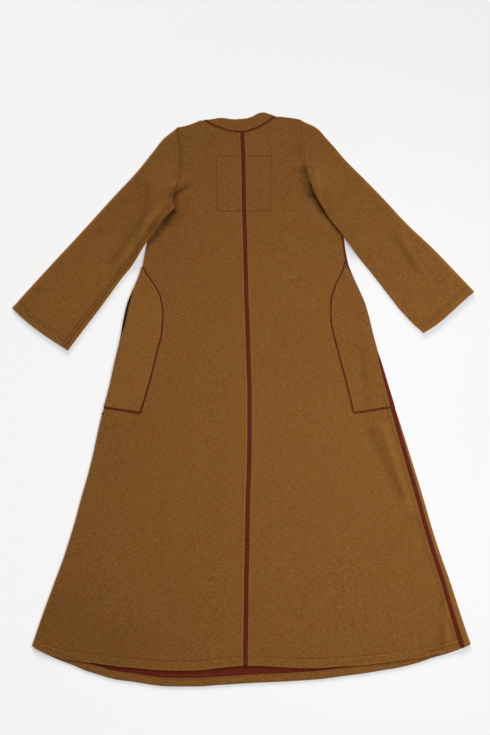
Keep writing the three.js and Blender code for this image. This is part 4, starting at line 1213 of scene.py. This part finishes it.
def tube_solid(name, points):
    rows, sides = points.shape[:2]
    index = np.arange(rows * sides).reshape(rows, sides)
    faces = [strip(a, b) for a, b in zip(index[:-1], index[1:])]
    ends = points[[0, -1]].mean(1)
    first, last = rows * sides, rows * sides + 1
    for centre, loop in ((first, index[0][::-1]), (last, index[-1])):
        pairs = loop.reshape(-1, 2)
        after = np.roll(loop, -2).reshape(-1, 2)[:, 0]
        faces.append(np.stack([pairs[:, 0], pairs[:, 1], after, np.full(len(after), centre)], -1))
    return solid(name, np.concatenate([points.reshape(-1, 3), ends]), np.concatenate(faces))


rust_piping = rust_cloth("rust_piping", "#5a2118", "#6b2a20", 0.75)
x = np.linspace(NECK_LEFT - 5, NECK_RIGHT + 5, 90)
y = top_of["back"](x)
lift = CLOTH / 2 + GAP / 2 + PIPING_HEIGHT / 2
neck_cord = piping(
    "neck_piping_cord", np.stack([x, y, over_neck(x, y) + lift], -1), PIPING_WIDTH, PIPING_HEIGHT
)
dress(neck_cord, rust_piping, "rust_tape", "neck_piping")

# Pockets: a large shaped pocket lies on the back at each side, let into the side seam, with
# rust piping along its curved inner edge and its lower edge. The hand goes in at the side.
POCKET_FOOT = -88.0
POCKETS = table(
    "y left right",
    (POCKET_FOOT, -255.5, 270.5),
    (-30, -240, 259.5),
    (20, -228, 248),
    (70, -218, 236.5),
    (120, -208, 226),
    (156, -206.5, 221.5),
    (192, -210, 222.5),
    (226, -221.5, 230.5),
    (255, -239, 242),
    (280, -255, 254.5),
    (291, -259, 257.5),
    (306, -261, 260),
)
# The lower edge climbs by this much from the inner corner to the side seam.
POCKET_RISE = 13.0
POCKET_RISE_REACH = 48.0
POCKET_CORD_TOP = {"left": 291.0, "right": 305.0}
POCKET_CORD_FOOT = -78.0
POCKET_CORD_REACH = {"left": 1.0, "right": 6.5}
POCKET_TOP = {"left": 289.0, "right": 302.0}
MOUTH_WIDTH = {"left": 4.5, "right": 0.0}
POCKET_OUT = TAPE_WIDTH / 2 + 2 * GAP
POCKET_COLUMNS = 26
pocket_of = {side: through(POCKETS, "y", side) for side in OUTWARD}
POCKET_FOLDS = table(
    "x1 y1 x2 y2 left right height",
    (-290, 150, -300, 20, 22, 18, 0.8),
    (-262, 60, -282, -60, 16, 16, -0.6),
    (-235, 170, -262, 40, 14, 14, 0.5),
    (298, -10, 303, -100, 11, 13, -1.4),
    (282, 120, 300, 0, 18, 18, 0.7),
    (262, 180, 268, 60, 14, 16, -0.6),
    (335, -20, 345, -80, 12, 12, 0.6),
)


def pocket(side):
    level = steps(POCKET_FOOT, (-84, 2), (270, 5), (POCKET_TOP[side], 3))[:, None]
    out = panel_end(side, level, "back") + POCKET_OUT + MOUTH_WIDTH[side] * gape(level)
    edge, _ = outermost(side, level, "back")
    width = np.abs(edge - pocket_of[side](level)) - EDGE_ROLL + EDGE_ARC - out
    beside = np.array([0, 1.2, 2.4, 3.8, 5.2, 7, 9]) * np.minimum(width / 16, 1)
    rest = mix(beside[:, -1:], width, np.arange(1, POCKET_COLUMNS) / (POCKET_COLUMNS - 1))
    step = np.concatenate([beside, rest], 1)
    slant = POCKET_RISE * (1 - smooth((level - POCKET_FOOT) / POCKET_RISE_REACH))
    way = step / width
    base = lifted_point(side, level + slant * (1 - way), out + step, CLOTH + 2 * GAP + 0 * step)
    fade = smooth(np.minimum(step, width - step) / 8)
    base[..., 2] += np.maximum(fold_height(POCKET_FOLDS, base[..., 0], base[..., 1]), -0.3) * fade
    base[..., 2] -= 0.35 * np.exp(-(((width - step) / 2.2) ** 2))
    return base


pockets = {side: pocket(side) for side in OUTWARD}
# Painted light: the left pocket is lightened and the right one darkened, a fold of the right one
# carries painted shade, and the rims a painted highlight.
POCKET_PAINTED_LIGHT = {"left": 0.1, "right": -0.03}
POCKET_SHADE_MARKS = table(
    "x1 y1 x2 y2 left right height",
    (294, 70, 304, -76, 9, 9, -0.14),
)
POCKET_RIM_HIGHLIGHT = 0.3
for side in OUTWARD:
    x, y = pockets[side][..., 0], pockets[side][..., 1]
    nap_and_painted_light = POCKET_PAINTED_LIGHT[side] + fold_height(POCKET_SHADE_MARKS, x, y)
    bag = cloth(f"pocket_{side}_bag", pockets[side], CLOTH, nap_and_painted_light=nap_and_painted_light, rim_painted_light=POCKET_RIM_HIGHLIGHT)
    dress(bag, wool, "wool_cloth", f"pocket_{side}")


def pocket_cord_path(side):
    """Down the curved inner edge, round the corner and out along the lower edge."""
    off = PIPING_WIDTH / 2 + 2 * GAP
    out = -OUTWARD[side] * off
    y = np.linspace(POCKET_CORD_TOP[side], POCKET_CORD_FOOT, 80)
    slope = (pocket_of[side](y + 2) - pocket_of[side](y - 2)) / 4
    length = np.hypot(1, slope)
    path = list(zip(pocket_of[side](y) + out / length, y - out * slope / length))
    level = np.array(POCKET_FOOT)
    corner = pocket_of[side](level)
    for turn in np.linspace(0, math.pi / 2, 6):
        path.append((corner + out * math.cos(turn), POCKET_FOOT - off * math.sin(turn)))
    reach = np.maximum(panel_end(side, level, "back"), 0) + POCKET_CORD_REACH[side]
    stop = outermost(side, level, "back")[0] - OUTWARD[side] * reach
    for part in np.linspace(0.08, 1, 22):
        path.append((mix(corner, stop, part), POCKET_FOOT - off + POCKET_RISE * part))
    x, y = np.array(path).T
    lift = CLOTH / 2 + GAP / 2 + PIPING_HEIGHT / 2
    return np.stack([x, y, back_height(side, x, y) + lift], -1)


# Painted shade darkens the tape where it lies deep inside the left pocket's mouth.
left_tape = side_tapes["left"].data
tape_points = np.empty(len(left_tape.vertices) * 3)
left_tape.vertices.foreach_get("co", tape_points)
shade = left_tape.attributes.new("shade", "FLOAT", "POINT")
shade.data.foreach_set("value", smooth(gape(tape_points[1::3] * 1000) * 2).astype(np.float32))

for side in OUTWARD:
    cord = piping(f"pocket_{side}_cord", pocket_cord_path(side), PIPING_WIDTH, PIPING_HEIGHT)
    dress(cord, rust_piping, "rust_tape", f"pocket_piping_{side}")

# Stitching: lockstitch in thick thread, brown on the wool and rust on the tapes, 5 mm to a
# stitch. The thread is drawn 1.1 mm thick, over twice its real size, so that the lines still show.
STITCH = 5.0
FOREARM_STITCH = 4.2
STITCH_LENGTH = 3.9
THREAD = 1.1
ABOVE_ALL = 0.06
under = bpy.context.evaluated_depsgraph_get()
surfaces = [BVHTree.FromObject(o, under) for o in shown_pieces() if "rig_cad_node" not in o]


def drop_on(x, y):
    """Highest point of the cloth at a place."""
    above = Vector((x / 1000, y / 1000, ABOVE_ALL))
    hits = [surface.ray_cast(above, Vector((0, 0, -1)))[0] for surface in surfaces]
    heights = [hit.z * 1000 for hit in hits if hit is not None]
    return max(heights) if heights else None


def along_path(points, spacing):
    """Places at even spacing along straight lines between points, with the way's direction."""
    points = np.array(points, float)
    reach = np.concatenate([[0], np.cumsum(np.linalg.norm(np.diff(points, axis=0), axis=1))])
    at = np.arange(spacing / 2, reach[-1], spacing)
    places = np.stack([np.interp(at, reach, points[:, k]) for k in (0, 1)], -1)
    ahead = np.stack([np.interp(at + 0.5, reach, points[:, k]) for k in (0, 1)], -1)
    behind = np.stack([np.interp(at - 0.5, reach, points[:, k]) for k in (0, 1)], -1)
    return places, unit(ahead - behind)


# Each stitch dips at its ends: place along it, share of the thread's thickness, and height.
STITCH_PARTS = ((-0.5, 0.55, -0.35), (-0.28, 1.0, 0.12), (0.28, 1.0, 0.12), (0.5, 0.55, -0.35))


def sew(name, lines, thread, slot="wool_cloth", spacing=STITCH):
    """One mesh of small stitches along each line."""
    points, faces = [], []
    for line in lines:
        for (x, y), (ux, uy) in zip(*along_path(line, spacing)):
            heights = [drop_on(x + ux * 2 * k, y + uy * 2 * k) for k in (-1, 1)]
            if None in heights:
                continue
            first = len(points) * 4
            for part, share, rise in STITCH_PARTS:
                away = part * STITCH_LENGTH
                z = mix(heights[0], heights[1], part + 0.5) + rise
                centre = np.array([x + ux * away, y + uy * away, z])
                half = THREAD / 2 * share
                beside = np.array([-uy * half, ux * half, 0])
                above = np.array([0, 0, half])
                points.append(centre + np.array([beside, above, -beside, -above]))
            ring = np.arange(first, first + 16).reshape(4, 4)
            faces += [strip(a, b) for a, b in zip(ring[:-1], ring[1:])]
            faces += [ring[:1, ::-1], ring[-1:]]
    dress(solid(name, np.concatenate(points), np.concatenate(faces)), thread, slot)


def twisted_thread(name, code):
    """Twisted cotton: matt, with the fine ridges of its strands."""
    material, tree = new_material(name)
    place = node(tree, "ShaderNodeTexCoord").outputs["Object"]
    twist = node(
        tree, "ShaderNodeTexWave", {"Vector": place, "Scale": 400.0, "Distortion": 0.5},
        bands_direction="DIAGONAL",
    )
    bump = node(
        tree, "ShaderNodeBump", {"Height": twist.outputs["Fac"], "Strength": 0.4, "Distance": 0.0002}
    )
    shader = node(
        tree, "ShaderNodeBsdfPrincipled",
        {
            "Base Color": to_linear(code), "Roughness": 0.8, "Specular IOR Level": 0.2,
            "Normal": bump.outputs[0],
        },
    )
    node(tree, "ShaderNodeOutputMaterial", {"Surface": shader.outputs[0]})
    return material


def cross_line(read, start, stop, offset):
    """Points x, read(x) + offset between two places."""
    x = np.linspace(start, stop, 120)
    return np.stack([x, read(x) + offset], -1)


def down_line(read, start, stop, offset, count=60):
    """Points read(y) + offset, y between two heights."""
    y = np.linspace(start, stop, count)
    return np.stack([read(y) + offset, y], -1)


brown_thread = twisted_thread("brown_thread", "#5a2f12")
rust_thread = twisted_thread("rust_thread", "#45130d")
BACK_STITCH_ENDS = (-472, 488)
TURNUP_STITCH_ENDS = (TURNUP_ENDS[0] + 6, TURNUP_ENDS[1] - 6)
hem_lines = [
    cross_line(hem_of["back"], *BACK_STITCH_ENDS, BACK_HEM_BAND),
    cross_line(hem_of["front"], *TURNUP_STITCH_ENDS, HEM_TURNUP * TURNUP_STITCH),
]
sew("hem_stitches", hem_lines, brown_thread)


def sleeve_edges(side):
    """Points down a sleeve's upper edge and its lower one."""
    rows = SLEEVES[side]
    return [np.stack([rows[f"{edge}_x"], rows[f"{edge}_y"]], -1) for edge in ("upper", "lower")]


def cuff_line(side, inside):
    """Line across the top of a sleeve, a distance inside its cuff."""
    upper, low = sleeve_edges(side)
    a = upper[-1] + unit(upper[-2] - upper[-1]) * inside
    b = low[-1] + unit(low[-2] - low[-1]) * inside
    share = np.linspace(0.02, 0.98, 30)[:, None]
    ahead = unit(np.array([OUTWARD[side] * abs(b[1] - a[1]), -abs(b[0] - a[0])]))
    return mix(a, b, share) + cuff_fullness(side, share) * ahead


UNDERARM_STITCH_FROM = 0.12


def underarm_line(side, inside):
    """Line along the top of a sleeve, a distance inside its lower edge."""
    upper, low = sleeve_edges(side)
    t = np.linspace(UNDERARM_STITCH_FROM, 1, 40)
    at = np.linspace(0, 1, len(upper))
    a = np.stack([np.interp(t, at, upper[:, k]) for k in (0, 1)], -1)
    b = np.stack([np.interp(t, at, low[:, k]) for k in (0, 1)], -1)
    return b + unit(a - b) * inside


sleeve_lines = []
for side in OUTWARD:
    sleeve_lines += [cuff_line(side, CUFF_BAND[side]), cuff_line(side, CUFF_BAND[side] + CUFF_SECOND)]
for way in (UNDERARM_BAND, UNDERARM_INNER):
    sleeve_lines.append(underarm_line("left", way / LOWER_SLANT))
sew("sleeve_stitches", sleeve_lines, brown_thread)

armhole_lines = [
    down_line(armhole_of["left"], 668, 522, ARMHOLE_BAND["left"]),
    down_line(armhole_of["right"], 655, 548, -ARMHOLE_BAND["right"]),
]
half_x, half_y = SQUARE["half_x"], SQUARE["half_y"]
top, foot = SQUARE["y"] + half_y, SQUARE["y"] - half_y
wide, narrow = half_x * (1 + SQUARE["lean"]), half_x * (1 - SQUARE["lean"])
corners = [(-wide, top), (wide, top), (narrow, foot), (-narrow, foot), (-wide, top)]
sew("armhole_stitches", armhole_lines, brown_thread)
sew("square_stitches", [corners], brown_thread)

dark_thread = twisted_thread("dark_brown_thread", "#3f200d")
sew("forearm_stitches", FOREARM_LINES, dark_thread, spacing=FOREARM_STITCH)


def beside_right_seam(way, start, stop):
    """Line along the right side, at a distance inside the side seam."""
    y = np.linspace(start, stop, 120)
    x = side_of["right"](y) - (seam_of["right"](y) - EDGE_MORE + way)
    return np.stack([x, y], -1)


TOPSTITCH = 14.5
sew("side_topstitches", [beside_right_seam(TOPSTITCH, -625, -20)], brown_thread)

TAPE_STITCH = TAPE_WIDTH / 2 - 1.3
tape_edges = [down_line(centre_of, 662, -676, way, 200) for way in (-TAPE_STITCH, TAPE_STITCH)]
tape_edges += [beside_right_seam(way, -632, -110) for way in (-TAPE_STITCH, TAPE_STITCH)]
sew("tape_stitches", tape_edges, rust_thread, "rust_tape")

# Surface, light and camera: a plain white surface, a low soft light from beyond the neck, a lamp
# above the right-hand side and a faint white surround. The camera looks down from the hem side.
FLOOR = 12.0
floor_mesh = bpy.data.meshes.new("floor")
floor_corners = [(-FLOOR, -FLOOR, 0), (FLOOR, -FLOOR, 0), (FLOOR, FLOOR, 0), (-FLOOR, FLOOR, 0)]
floor_mesh.from_pydata(floor_corners, [], [(0, 1, 2, 3)])
floor = bpy.data.objects.new("floor", floor_mesh)
floor.location.z = -0.0003
bpy.context.scene.collection.objects.link(floor)
# The surface glows softly, and less so beneath the lamp, so that it looks white all over.
LAMP_PLACE = (0.66, -0.12, 1.5)
GLOW_BENEATH = 0.213
GLOW_FAR = 0.555
GLOW_REACH = 2.0
paper, tree = new_material("matt_white_surface")
place = node(tree, "ShaderNodeTexCoord").outputs["Object"]
from_lamp = node(
    tree, "ShaderNodeVectorMath", {0: place, 1: (*LAMP_PLACE[:2], 0)}, operation="DISTANCE"
).outputs["Value"]
glow = node(
    tree, "ShaderNodeMapRange",
    {"Value": from_lamp, "From Max": GLOW_REACH, "To Min": GLOW_BENEATH, "To Max": GLOW_FAR},
)
shader = node(
    tree, "ShaderNodeBsdfPrincipled",
    {
        "Base Color": (0.6, 0.6, 0.6, 1), "Roughness": 0.95, "Specular IOR Level": 0.05,
        "Emission Color": (1, 1, 1, 1), "Emission Strength": glow.outputs[0],
    },
)
node(tree, "ShaderNodeOutputMaterial", {"Surface": shader.outputs[0]})
floor_mesh.materials.append(paper)

world = bpy.data.worlds.new("white_surround")
bpy.context.scene.world = world
world.use_nodes = True
background = world.node_tree.nodes["Background"].inputs
background["Color"].default_value = (1, 1, 1, 1)
background["Strength"].default_value = 0.15


def lamp(name, kind, energy, place, aim, **settings):
    data = bpy.data.lights.new(name, kind)
    data.energy = energy
    for key, value in settings.items():
        setattr(data, key, value)
    made = bpy.data.objects.new(name, data)
    bpy.context.scene.collection.objects.link(made)
    made.location = place
    made.rotation_euler = (Vector(place) - Vector(aim)).to_track_quat("Z", "Y").to_euler()


lamp("soft_low_light", "SUN", 2.35, (-0.14, 0.95, 0.47), (0, 0, 0), angle=math.radians(24))
lamp("lamp_at_the_right", "AREA", 17, LAMP_PLACE, (0.15, -0.2, 0), size=0.5)

# The camera stands 2.45 m from the middle of the view, 75 degrees above the surface.
VIEW_MIDDLE = Vector((0.0029, 0.0262, 0))
DISTANCE = 2.45
ELEVATION = math.radians(75)
camera_data = bpy.data.cameras.new("camera")
camera_data.sensor_width = 36
camera_data.lens = 48.2
camera = bpy.data.objects.new("camera", camera_data)
bpy.context.scene.collection.objects.link(camera)
camera.location = VIEW_MIDDLE + DISTANCE * Vector((0, -math.cos(ELEVATION), math.sin(ELEVATION)))
camera.rotation_euler = (math.pi / 2 - ELEVATION, 0, 0)
bpy.context.scene.camera = camera
bpy.context.scene.view_settings.view_transform = "Standard"
